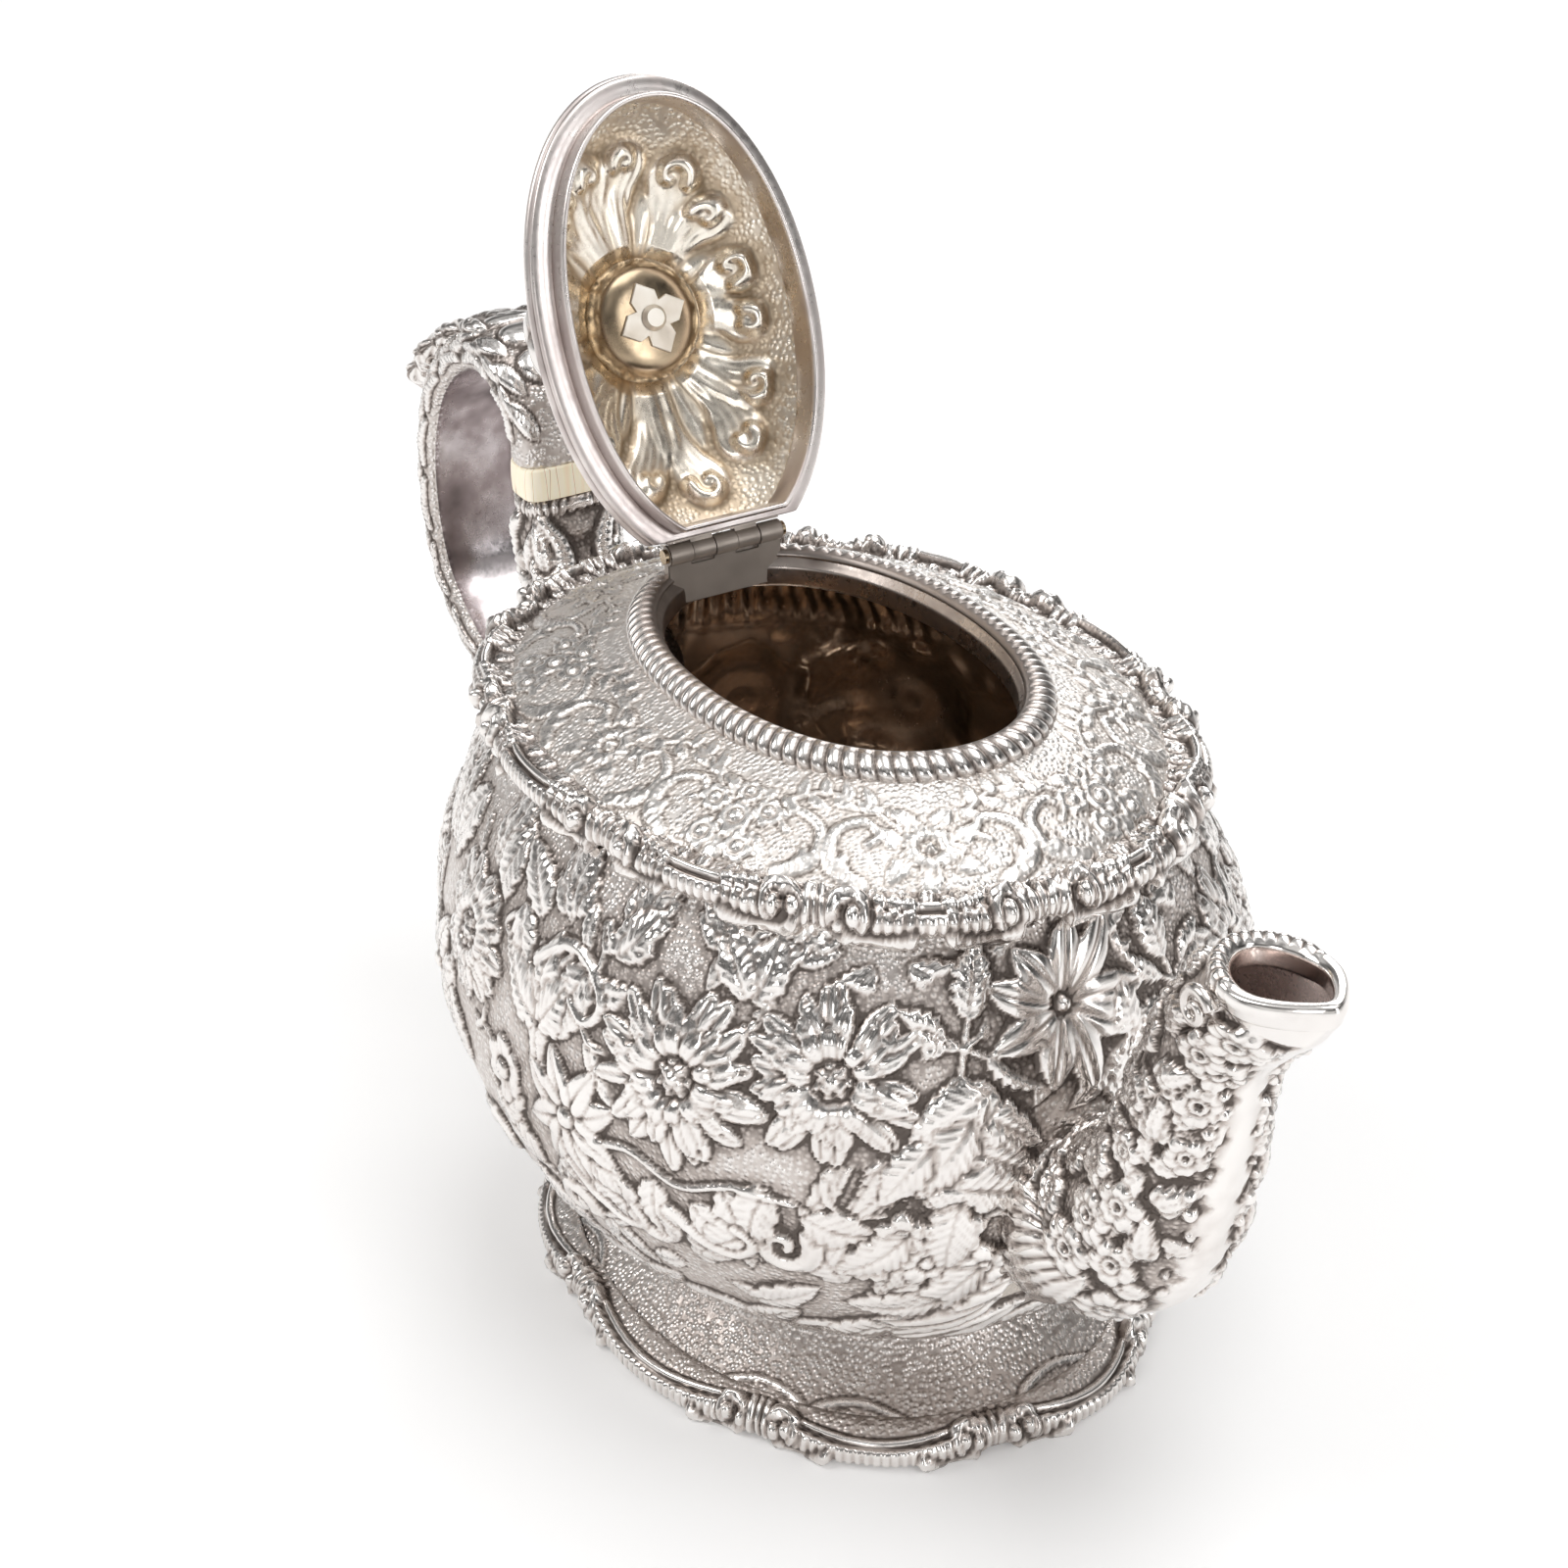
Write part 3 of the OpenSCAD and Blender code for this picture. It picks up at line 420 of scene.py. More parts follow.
def shoulder_relief(R, P, L):
    """Flat-chased flowers, leaves and hatched scroll panels."""
    n = 10
    w = P / n
    for k in range(n):
        u = k * w
        c = u + w * 0.5
        R.stroke([(u - 8, 16.5), (u - 3, 19), (u + 3, 19), (u + 8, 16.5), (u + 12, 13)], 0.5, 0.35, 0.8)
        for q in range(9):
            R.leaf(u - 9 + 2.3 * q, 17.5 + 1.2 * math.cos((q - 4) * 0.5), (62 if q % 2 else -58) + 4 * q, 4.4, 1.15, bend=0.3, h=0.8, vein=1.1, mid=0.3)
        for sg in (-1, 1):
            R.stroke([(c + sg * 10, 3.0), (c + sg * 14.5, 6), (c + sg * 14.5, 12), (c + sg * 10, 14.5), (c + sg * 7.6, 12), (c + sg * 9.4, 10)], 1.25, 0.6, 1.2, hatch=1.1)
            for q in range(4):
                R.leaf(c + sg * (10 + 1.6 * q), 3.4 + 0.3 * q, 90 - sg * (70 - 34 * q), 4.6, 1.0, bend=sg * 0.2, h=0.9, vein=1.1)
        for q in range(7):
            a = 14 + 51 * q
            R.leaf(c + 3.6 * math.cos(math.radians(a)), 10 + 3.4 * math.sin(math.radians(a)), a, 5.6, 1.7, bend=0.2 * (-1) ** q, h=0.9, lobes=3, lob=0.2, vein=1.2)
        if k % 2:
            R.clear(c, 10, 5.2)
            R.daisy(c, 10, 5.6, 13, h=1.2, seed=30 + k, layers=2, core=0.22)
        else:
            for q, (x, y, r) in enumerate([(0, 10, 3.4), (5.2, 12.6, 2.8), (-5.2, 12, 2.8), (3, 5.2, 2.7), (-3.6, 5.6, 2.8), (0.4, 15.4, 2.4)]):
                R.clear(c + x, y, r)
                R.flower(c + x, y, r, 6, h=1.2, layers=1, phase=0.2 * q, core=0.34, lines=1)


def foot_relief(R, P, L):
    """Sparse soft scrolls over a stippled slope."""
    for k in range(9):
        u = P * (k + 0.5) / 9
        s = 1 if k % 2 else -1
        R.stroke([(u - 2 * s, 2.6), (u + 2 * s, 6.2), (u + 8 * s, 8.6), (u + 14 * s, 7.4), (u + 16 * s, 4.8), (u + 13.6 * s, 3.8)], 0.5, 0.85, 0.55, under=0.12)
    for k in range(int(P / 1.9)):
        R.bead(k * 1.9, L - 2.4, 0.8, 0.8)


def spout_relief(R, P, L):
    """Flowers and leaves up both sides; a plain beaten strip up the front (the middle of the chart)."""
    rng = np.random.RandomState(41)
    m = P / 2
    for s in (1, -1):
        U = lambda x: m + s * x
        for k in range(110):
            v = rng.uniform(2, L - 3)
            R.leaf(U(rng.uniform(5.5, m)), v, rng.uniform(0, 360), rng.uniform(5, 9), rng.uniform(1.3, 2.3), bend=rng.uniform(-0.4, 0.4), h=1.6, vein=1.4, lobes=4, lob=0.25, curl=0.4)
        for k in range(8):
            R.leaf(U(26 - 2.4 * k), 0.5, 90 + s * (10 - 5 * k), 15 + k * 0.7, 2.3, bend=0.12 * s, h=2.6, vein=50, mid=0.9, fat=1.2, reed=3, tip=0.5)
        rows = [(9, 16), (17, 19), (25, 17), (33, 20), (13, 25), (21, 28), (29, 26), (8, 31), (16, 35), (24, 36), (34, 34), (10, 41), (19, 44), (28, 43), (8, 50), (15, 52), (23, 53), (33, 51), (10, 60), (18, 61), (27, 62), (8, 68), (15, 70), (24, 70), (34, 64), (12, 77), (21, 78), (30, 77)]
        for k, (x, v) in enumerate(rows):
            if v > L - 4.5:
                continue
            r, x = rng.uniform(2.6, 4.2), x + rng.uniform(-1.4, 1.4)
            if k % 4 == 3:
                R.acanthus(U(x), v - 3, 60 + rng.uniform(-20, 60), 9, 4.0, 0.3, h=2.2, n=4)
                continue
            ph = rng.uniform(0, 72)
            for i in range(5):
                R.leaf(U(x), v, 72 * i + ph, r * 1.25, r * 0.5, h=2.3, vein=50, mid=0.5, fat=1.35, tip=0.5, curl=0.3)
            R.put(U(x), v, r * 0.6, lambda X, Y, r=r: (2.5 - 2.2 * np.exp(-(np.hypot(X, Y) / (r * 0.2)) ** 2), r * 0.36 - np.hypot(X, Y)), 0.0, groove=0.3)
        for k in range(16):
            R.bead(U(5.6 + 1.3 * math.sin(k * 2.1)), 15 + 4.0 * k, 0.9 + 0.4 * math.sin(k * 1.3), 1.9)
    j, v = np.arange(R.W) * R.px, np.arange(R.Hn) * R.py
    edge = 4.6 + 1.1 * np.sin(v * 0.9) + 0.6 * np.sin(v * 2.3 + 1)
    strip = np.clip((edge[:, None] - np.abs(j - m)[None]) / 1.4, 0, 1) * np.clip((v - 11) / 5, 0, 1)[:, None]
    beaten = 0.5 + 0.4 * (value_noise(R.H.shape, 5.5 / R.px, 9) - 0.5)
    R.H = R.H * (1 - strip) + beaten * strip
    R.ground *= 1 - strip
    R.ink *= 1 - strip


def grip_relief(R, P, L):
    """u = 0 is the middle of the strap's inner face, P/2 the middle of its crest; v runs from the upper insulator."""
    m = P / 2
    for k in range(6):
        v = 16 + 6.4 * k
        R.put(m, v, 4.6, lambda X, Y: (1.9 * np.sqrt(np.clip(1 - (X / 3.4) ** 2 - (Y / 2.9) ** 2, 0, 1)), (1 - np.hypot(X / 3.4, Y / 2.9)) * 2.9), 0.3, groove=0.5)
    for k in range(int((L - 8) / 7.0)):
        v = 5 + 7.0 * k
        for s in (1, -1):
            R.leaf(m + s * 4.2, v, 90 - s * 30, 10, 2.2, bend=-0.25 * s, h=1.3, vein=1.1, mid=0.3)
            R.leaf(m + s * 9.6, v + 3, 90 - s * 14, 8, 1.7, bend=0.2 * s, h=1.0, vein=1.1, mid=0.3)
            if k % 2 == 0:
                R.stroke([(m + s * 12.6, v), (m + s * 11.8, v + 5), (m + s * 12.8, v + 10)], 0.9, 0.9, 1.1, hatch=1.1)
    for k in range(8):
        v = 64 + 9 * k
        if v < L - 8:
            R.leaf(m, v, 90, 10, 3.0, h=1.5, vein=1.2, mid=0.5)
    for s in (1, -1):
        e = m - 6.6
        R.stroke([(m + s * e, 2), (m + s * e, L * 0.3), (m + s * e, L * 0.6), (m + s * e, L - 2)], 0.9, 0.9, 0.9, hatch=1.2)
        R.stroke([(m + s * (e + 1.9), 2), (m + s * (e + 1.9), L * 0.5), (m + s * (e + 1.9), L - 2)], 0.45, 0.45, 0.6)
    j = np.arange(R.W) * R.px
    d = np.minimum(j, P - j)
    inner = np.clip((6.6 - d) / 0.7, 0, 1)[None]
    R.H = R.H * (1 - inner) - 0.9 * inner * np.clip(1 - (d / 6.6) ** 2, 0, 1)[None]
    R.ground *= 1 - inner
    R.ink *= 1 - inner


def thumb_relief(R, P, L):
    """A ribbed, feathered leaf on each broad face, with a nicked edge."""
    for m in (P * 0.25, P * 0.75):
        for k in range(9):
            for s in (1, -1):
                R.leaf(m + s * 0.8, 0.6 + 4.1 * k, 90 - s * 46, 8.6, 1.9, bend=0.22 * s, h=1.3, vein=50, mid=0.6, under=0.35)
        R.leaf(m, 0, 90, L - 1.5, 1.5, h=1.4, vein=1.6, mid=0.6, under=0.35)
    for k in range(10):
        for u in (0.0, P * 0.5):
            R.leaf(u, 1 + 3.8 * k, 90, 5.2, 1.7, h=1.0, vein=50, mid=0.3)


def socket_relief(R, P, L):
    """Crumpled leafage with ribbed volutes hanging from the joint at each corner."""
    R.H += 1.2 * (value_noise(R.H.shape, 3.0 / R.px, 61) - 0.3) + 0.6 * (value_noise(R.H.shape, 1.2 / R.px, 62) - 0.5)
    R.ink += 0.45
    for q in range(6):
        R.acanthus(P * q / 6, 1.0, 90, L * 0.55, 5.5, 0.12 * (-1) ** q, h=1.9, n=5)
    for u, s in ((P * 0.20, 1), (P * 0.80, -1), (P * 0.42, -1), (P * 0.58, 1)):
        R.stroke([(u + 2.0 * s, L - 4), (u - 0.6 * s, L - 9), (u - 0.4 * s, L - 15), (u + 3.4 * s, L - 17.5), (u + 4.4 * s, L - 14), (u + 2.4 * s, L - 12.4)], 1.4, 2.1, 2.8, hatch=1.7)
        R.leaf(u + 3.4 * s, L - 16, 80, 13, 2.0, bend=-0.2 * s, h=2.0, vein=1.3)
    for k in range(int(P / 1.3)):
        R.leaf(k * 1.3, L - 3.4, 90 + 12 * math.sin(k), 3.6, 0.6, h=1.1, vein=50, mid=0.0)


def lid_relief(R, P, L):
    """Top of the lid: a ring of flowers and leaves between a gadrooned edge and the fluted crown."""
    rng = np.random.RandomState(51)
    for k in range(110):
        R.leaf(P * (k + 0.5) / 110, 3.4, 80, 4.4, 1.0, h=1.0, vein=50, mid=0.0, fat=0.6)
    for k in range(60):
        R.leaf(rng.uniform(0, P), rng.uniform(9, 26), rng.uniform(0, 360), rng.uniform(5, 8), rng.uniform(1.2, 2.0), bend=rng.uniform(-0.3, 0.3), h=0.9, vein=1.2)
    n = 12
    for k in range(n):
        u = P * k / n
        R.flower(u, 15.5, 5.0, 8, h=1.5, layers=2, phase=0.2 * k, core=0.26, lines=1)
        for q in range(4):
            R.leaf(u + P / n / 2, 15 + 2 * q, 60 + 30 * q, 8, 2.0, bend=0.2, h=1.3, vein=1.2, lobes=4, lob=0.2)
        R.spiral(u + P / n / 2, 11, 3.0, 1.2, 0, 1.1, 0.6, h=1.4, ccw=(-1) ** k)
    for k in range(20):
        R.leaf(P * k / 20, 25, 90, 16, 4.0, h=1.4, vein=50, mid=0.7)


def fan_relief(R, x0, y0):
    """Underside of the lid in plan: soft reeded lobes fan out from the hub and end in curled tips."""
    tips = [(31.5, 1.0), (27.5, 9.5), (19.5, 14.5), (10.0, 17.0), (0.0, 17.8), (-10.5, 16.5), (-20.0, 12.0), (-26.0, 3.5), (-23.5, -8.0), (-15.0, -14.5), (-5.0, -17.3), (5.0, -17.6), (15.0, -16.2), (24.0, -12.6), (29.8, -6.5)]
    hx, hy = HUB_X, 0.0
    n = len(tips)
    for k in range(n):
        (xa, ya), (xb, yb) = tips[k], tips[(k + 1) % n]
        xm, ym = (xa + xb) / 2 - hx, (ya + yb) / 2 - hy
        a, L = math.degrees(math.atan2(ym, xm)), math.hypot(xm, ym)
        R.leaf(hx + 0.2 * xm + x0, hy + 0.2 * ym + y0, a, L * 0.68, 2.6, bend=0.06 * (-1) ** k, h=1.0, vein=50, mid=0.0, fat=1.25, reed=2.0, under=0.4)
    for k, (x, y) in enumerate(tips):
        a, L = math.atan2(y - hy, x - hx), math.hypot(x - hx, y - hy)
        s = 1 if k % 2 else -1
        nx, ny = -math.sin(a), math.cos(a)
        pts = [(hx + (x - hx) * f + nx * s * o * L, hy + (y - hy) * f + ny * s * o * L) for f, o in ((0.14, 0), (0.4, 0.04), (0.66, 0.08), (0.86, 0.05), (0.97, 0.0))]
        R.stroke([(px + x0, py + y0) for px, py in pts], 1.1, 4.3 if L > 20 else 3.6, 1.4, reed=5, under=0.45)
        d = math.degrees(a)
        R.spiral(x + x0, y + y0, 3.4 if k % 2 else 2.4, 0.8, d + 180 - s * 80, 1.5, 0.8, h=2.0, ccw=-s, reed=0, under=0.6)
    X, Y = np.meshgrid(np.arange(R.W) * R.px - x0 - hx, np.arange(R.Hn) * R.py - y0)
    rr, ta = np.hypot(X, Y * 1.35), np.arctan2(Y, X)
    R.H += 0.34 * np.cos(ta * 75 + 0.25 * rr) * np.clip((24 - rr) / 5, 0, 1) * np.clip((rr - 8) / 3, 0, 1)
    R.H = box_blur(R.H, 0.28 / R.px, False)
    R.ink = 0.3 * R.ink
    X, Y = np.meshgrid(np.arange(R.W) * R.px - x0, np.arange(R.Hn) * R.py - y0)
    q = np.hypot((X - 2.7) / 37.0, Y / 21.4)
    wall = np.clip((q - 0.93) / 0.03, 0, 1)
    th = np.arctan2(Y / 21.4, (X - 2.7) / 37.0)
    R.H = R.H * (1 - wall) + wall * (0.10 * np.sin(th * 90) * value_noise(R.H.shape, 20, 3, False))
    R.H += 0.22 * (value_noise(R.H.shape, 3.6 / R.px, 71, False) - 0.5)
    R.ink = R.ink * (1 - wall)


HUB_X = 4.1


HX, HZ, LID_OPEN = -35.7, 125.8, math.radians(112)
MX, HUB = 2.7, 4.1


def opened(V):
    """Points of the shut lid, swung to where the lid stands."""
    V = np.asarray(V, float)
    dx, dz, c, s = V[..., 0] - HX, V[..., 2] - HZ, math.cos(LID_OPEN), math.sin(LID_OPEN)
    return np.stack([HX + dx * c - dz * s, V[..., 1], HZ + dx * s + dz * c], -1)


def normals2(G, wu=True, wv=False):
    du = (np.roll(G, -1, 1) - np.roll(G, 1, 1)) if wu else np.gradient(G, axis=1)
    dv = (np.roll(G, -1, 0) - np.roll(G, 1, 0)) if wv else np.gradient(G, axis=0)
    n = np.cross(du, dv)
    L = np.linalg.norm(n, axis=-1, keepdims=True)
    return n / np.maximum(L, 1e-9)


def closed_curve(P, N):
    """N points evenly along a smooth closed curve through P (any number of columns; length from the first three)."""
    P = np.asarray(P, float)
    n = len(P)
    out = []
    for i in range(n):
        a, b, c, d = P[i - 1], P[i], P[(i + 1) % n], P[(i + 2) % n]
        t = np.linspace(0, 1, 16, endpoint=False)[:, None]
        out.append(0.5 * (2 * b + (c - a) * t + (2 * a - 5 * b + 4 * c - d) * t ** 2 + (3 * b - a - 3 * c + d) * t ** 3))
    C = np.vstack(out + [P[:1]])
    k = [0, 2] if P.shape[1] > 2 else [0, 1]
    s = np.concatenate([[0], np.cumsum(np.linalg.norm(np.diff(C[:, k], axis=0), axis=1))])
    u = np.linspace(0, s[-1], N, endpoint=False)
    return np.stack([np.interp(u, s, C[:, j]) for j in range(C.shape[1])], 1), s[-1]


def quads(M, N, wu=True, wv=False):
    j = np.arange(M if wv else M - 1)[:, None]
    i = np.arange(N if wu else N - 1)[None]
    a, b, c, d = j * N + i, j * N + (i + 1) % N, ((j + 1) % M) * N + (i + 1) % N, ((j + 1) % M) * N + i
    return np.stack([a, b, c, d], -1).reshape(-1, 4)


def mesh(name, parts, mats, body, node, smooth_shade=True):
    """One object from parts: (grid or points, faces, attributes, material index)."""
    Vs, Ls, Ts, Ms, A, off = [], [], [], [], {"cav": [], "gnd": [], "tone": []}, 0
    for V, F, at, mi in parts:
        V = np.asarray(V, float).reshape(-1, 3)
        for f in F:
            f = np.asarray(f)
            if f.ndim == 1:
                f = f[None]
            Ls.append((f + off).ravel())
            Ts.append(np.full(len(f), f.shape[1]))
            Ms.append(np.full(len(f), mi))
        for k in A:
            a = at.get(k, 0.0)
            A[k].append(np.broadcast_to(np.asarray(a, float).ravel() if np.ndim(a) else a, (len(V),)))
        Vs.append(V)
        off += len(V)
    V, L, T, Mi = np.vstack(Vs) / 1000, np.concatenate(Ls).astype(np.int32), np.concatenate(Ts), np.concatenate(Ms).astype(np.int32)
    me = bpy.data.meshes.new(name)
    me.vertices.add(len(V))
    me.vertices.foreach_set("co", V.astype(np.float32).ravel())
    me.loops.add(len(L))
    me.loops.foreach_set("vertex_index", L)
    me.polygons.add(len(T))
    me.polygons.foreach_set("loop_start", np.concatenate([[0], np.cumsum(T)[:-1]]).astype(np.int32))
    me.polygons.foreach_set("material_index", Mi)
    me.polygons.foreach_set("use_smooth", np.full(len(T), smooth_shade))
    for k in A:
        me.attributes.new(k, "FLOAT", "POINT").data.foreach_set("value", np.concatenate(A[k]).astype(np.float32))
    me.update()
    me.validate()
    ob = bpy.data.objects.new(name, me)
    bpy.context.scene.collection.objects.link(ob)
    for m in mats if isinstance(mats, (list, tuple)) else [mats]:
        me.materials.append(m)
    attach(ob, body)
    if node:
        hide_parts(*([node] if isinstance(node, str) else node))
    return ob


def caps(M, N, first=True, last=True, base=0):
    out = []
    if first:
        out.append(base + np.arange(N)[::-1])
    if last:
        out.append(base + (M - 1) * N + np.arange(N))
    return out


def tube_rows(S, rows, N, n=2.0, shrink=0.0):
    """Rings along stations (x, z, heading, half height, half width), heading in degrees."""
    S = np.asarray(S, float).copy()
    S[:, 2] = np.degrees(np.unwrap(np.radians(S[:, 2])))
    P = S[:, [0, 1, 2, 3, 4]]
    K = np.stack([P[:, 0], P[:, 2], P[:, 3], P[:, 4], P[:, 1]], 1)
    C, L = smooth(K, rows)
    x, ph, h, w, z = C.T
    ph = np.radians(ph)[:, None]
    t = np.linspace(0, TAU, N, endpoint=False)[None]
    c, s = se(np.cos(t), n), se(np.sin(t), n)
    h, w = h[:, None] - shrink, w[:, None] - shrink
    return np.stack([x[:, None] - h * c * np.sin(ph), -w * s, z[:, None] + h * c * np.cos(ph)], -1), L


# ------------------------------------------------------------------ finishes


class Nodes:
    def __init__(self, name):
        self.m = bpy.data.materials.new(name)
        self.m.use_nodes = True
        self.t = self.m.node_tree
        self.t.nodes.clear()
        self.out = self.n("ShaderNodeOutputMaterial")
        self.b = self.n("ShaderNodeBsdfPrincipled")
        self.t.links.new(self.b.outputs[0], self.out.inputs[0])
        self.tc = self.n("ShaderNodeTexCoord").outputs["Object"]

    def n(self, kind, **k):
        x = self.t.nodes.new(kind)
        for a, v in k.items():
            setattr(x, a, v)
        return x

    def l(self, a, b):
        self.t.links.new(a, b)

    def noise(self, scale, detail=3.0, rough=0.55, stretch=None, w=0.0):
        x = self.n("ShaderNodeTexNoise")
        x.inputs["Scale"].default_value = scale
        x.inputs["Detail"].default_value = detail
        x.inputs["Roughness"].default_value = rough
        src = self.tc
        mp = self.n("ShaderNodeMapping")
        mp.inputs["Location"].default_value = (w, w * 0.7, w * 1.3)
        if stretch:
            mp.inputs["Scale"].default_value = stretch
        self.l(src, mp.inputs[0])
        self.l(mp.outputs[0], x.inputs["Vector"])
        return x.outputs[0]

    def cells(self, scale, feature="F1"):
        x = self.n("ShaderNodeTexVoronoi", feature=feature)
        x.inputs["Scale"].default_value = scale
        x.inputs["Randomness"].default_value = 0.75
        self.l(self.tc, x.inputs["Vector"])
        return x.outputs["Distance"]

    def attr(self, name):
        return self.n("ShaderNodeAttribute", attribute_name=name).outputs["Fac"]

    def math(self, op, a, b=None, clamp=False):
        x = self.n("ShaderNodeMath", operation=op, use_clamp=clamp)
        for i, v in enumerate((a, b)):
            if v is None:
                continue
            if isinstance(v, (int, float)):
                x.inputs[i].default_value = v
            else:
                self.l(v, x.inputs[i])
        return x.outputs[0]

    def fit(self, v, a, b, c, d):
        x = self.n("ShaderNodeMapRange")
        for i, k in enumerate((a, b, c, d)):
            x.inputs[i + 1].default_value = k
        self.l(v, x.inputs[0])
        return x.outputs[0]

    def mix(self, f, a, b):
        x = self.n("ShaderNodeMix", data_type="RGBA")
        self.l(f, x.inputs[0])
        for i, v in ((6, a), (7, b)):
            if isinstance(v, tuple):
                x.inputs[i].default_value = (*v, 1)
            else:
                self.l(v, x.inputs[i])
        return x.outputs[2]

    def bump(self, h, strength, dist, normal=None):
        x = self.n("ShaderNodeBump")
        x.inputs["Strength"].default_value = strength
        x.inputs["Distance"].default_value = dist
        self.l(h, x.inputs["Height"])
        if normal is not None:
            self.l(normal, x.inputs["Normal"])
        return x.outputs[0]


def silver(name, light, mid, dark, rough=(0.16, 0.34), cloud=0.25, pits=0.6, cell=1050, cave=1.0, gleam=0.0, scratch=0.12):
    m = Nodes(name)
    cav, gnd = m.attr("cav"), m.attr("gnd")
    big, fine, mid_n = m.noise(26, 4, 0.6), m.noise(900, 3, 0.6, w=3.1), m.noise(150, 4, 0.6, w=1.7)
    pit = m.fit(m.cells(cell), 0.2, 0.62, 1, 0)
    # how much oxide: recesses, punched ground, slow clouds and small specks
    ox = m.math("MULTIPLY", m.math("POWER", cav, 0.9), cave)
    ox = m.math("ADD", ox, m.math("MULTIPLY", m.fit(big, 0.5, 0.72, 0, 1), cloud))
    ox = m.math("ADD", ox, m.math("MULTIPLY", m.math("MULTIPLY", gnd, m.math("SUBTRACT", 1.0, pit)), pits))
    ox = m.math("ADD", ox, m.math("MULTIPLY", m.fit(mid_n, 0.52, 0.75, 0, 1), 0.12), clamp=True)
    col = m.mix(m.fit(ox, 0.0, 0.5, 0, 1), light, mid)
    col = m.mix(m.fit(ox, 0.48, 1.1, 0, 1), col, dark)
    m.l(col, m.b.inputs["Base Color"])
    r = m.math("ADD", m.fit(fine, 0.3, 0.7, rough[0], rough[1]), m.math("MULTIPLY", ox, 0.3))
    r = m.math("ADD", r, m.math("MULTIPLY", gnd, 0.10), clamp=True)
    m.l(r, m.b.inputs["Roughness"])
    m.b.inputs["Metallic"].default_value = 1.0
    b1 = m.bump(fine, scratch, 0.00006)
    b2 = m.bump(m.math("MULTIPLY", pit, gnd), 0.75, 0.00022, b1)
    m.l(b2, m.b.inputs["Normal"])
    return m.m


def ivory(name):
    m = Nodes(name)
    cloud, grain = m.noise(60, 3, 0.5), m.noise(500, 4, 0.6, stretch=(1, 1, 0.08))
    crack = m.fit(m.noise(260, 2, 0.5, stretch=(1, 1, 0.06), w=5), 0.485, 0.5, 1, 0)
    crack2 = m.fit(m.noise(260, 2, 0.5, stretch=(1, 1, 0.06), w=5), 0.5, 0.515, 0, 1)
    line = m.math("SUBTRACT", 1.0, m.math("MAXIMUM", crack, crack2))
    col = m.mix(m.fit(cloud, 0.35, 0.65, 0, 1), (0.93, 0.84, 0.65), (0.97, 0.92, 0.78))
    col = m.mix(m.fit(grain, 0.4, 0.75, 0, 0.5), col, (0.62, 0.48, 0.27))
    col = m.mix(m.math("MULTIPLY", line, 0.75), col, (0.16, 0.10, 0.05))
    m.l(col, m.b.inputs["Base Color"])
    m.l(m.fit(grain, 0.3, 0.7, 0.28, 0.42), m.b.inputs["Roughness"])
    m.b.inputs["Subsurface Weight"].default_value = 0.12
    m.b.inputs["Subsurface Radius"].default_value = (0.004, 0.003, 0.002)
    m.l(m.bump(m.math("SUBTRACT", grain, m.math("MULTIPLY", line, 0.8)), 0.2, 0.0001), m.b.inputs["Normal"])
    return m.m


CHASED = silver("silver_chased", (0.88, 0.85, 0.825), (0.54, 0.48, 0.445), (0.07, 0.054, 0.045), (0.10, 0.19), 0.16, 0.32, cave=1.2)
FLATCHASED = silver("silver_flat_chased", (0.88, 0.855, 0.83), (0.78, 0.725, 0.68), (0.15, 0.12, 0.10), (0.20, 0.30), 0.12, 0.2, cave=1.05)
THROAT = silver("silver_throat", (0.96, 0.84, 0.80), (0.74, 0.61, 0.56), (0.2, 0.14, 0.11), (0.18, 0.30), 0.5, 0.2)
NUTS = silver("silver_nut", (0.96, 0.93, 0.86), (0.78, 0.70, 0.60), (0.2, 0.15, 0.10), (0.26, 0.38), 0.3, 0.1)
BRIGHT = silver("silver_polished", (0.93, 0.91, 0.90), (0.60, 0.55, 0.52), (0.07, 0.06, 0.055), (0.07, 0.16), 0.20, 0.5)
RIMMED = silver("silver_satin", (0.88, 0.83, 0.80), (0.62, 0.55, 0.53), (0.12, 0.095, 0.085), (0.20, 0.30), 0.5, 0.5, scratch=0.25)
MIRROR = silver("silver_inner_strap", (0.82, 0.76, 0.77), (0.38, 0.32, 0.32), (0.07, 0.05, 0.05), (0.10, 0.22), 1.0, 0.4)
GILT = silver("silver_champagne", (0.96, 0.90, 0.80), (0.70, 0.58, 0.44), (0.26, 0.19, 0.12), (0.16, 0.30), 0.35, 0.35)
BRONZE = silver("silver_bronzed", (0.58, 0.46, 0.32), (0.36, 0.27, 0.175), (0.10, 0.07, 0.045), (0.12, 0.20), 0.35, 0.15)
LINING = silver("silver_lining", (0.92, 0.78, 0.65), (0.58, 0.45, 0.355), (0.14, 0.10, 0.07), (0.07, 0.15), 0.5, 0.2)
WORN = silver("silver_worn", (0.55, 0.50, 0.45), (0.33, 0.28, 0.24), (0.08, 0.06, 0.05), (0.20, 0.36), 0.5, 0.5)
SATIN_DARK = silver("silver_mouth_band", (0.62, 0.56, 0.52), (0.38, 0.33, 0.30), (0.10, 0.075, 0.06), (0.14, 0.26), 0.6, 0.4, scratch=0.25)
PLATE = silver("silver_hinge_plate", (0.58, 0.51, 0.45), (0.34, 0.29, 0.25), (0.10, 0.08, 0.065), (0.26, 0.40), 0.7, 0.5, scratch=0.3)
for m_, v_ in ((PLATE, 0.45), (THROAT, 0.6)):
    m_.node_tree.nodes["Principled BSDF"].inputs["Metallic"].default_value = v_
IVORY = ivory("ivory_crackled_painted_glow")
# painted light: a faint cream emission makes the ivory glow, brightening it where it sits in shade; it is no lamp
IVORY.node_tree.nodes["Principled BSDF"].inputs["Emission Color"].default_value = (1.0, 0.86, 0.62, 1.0)
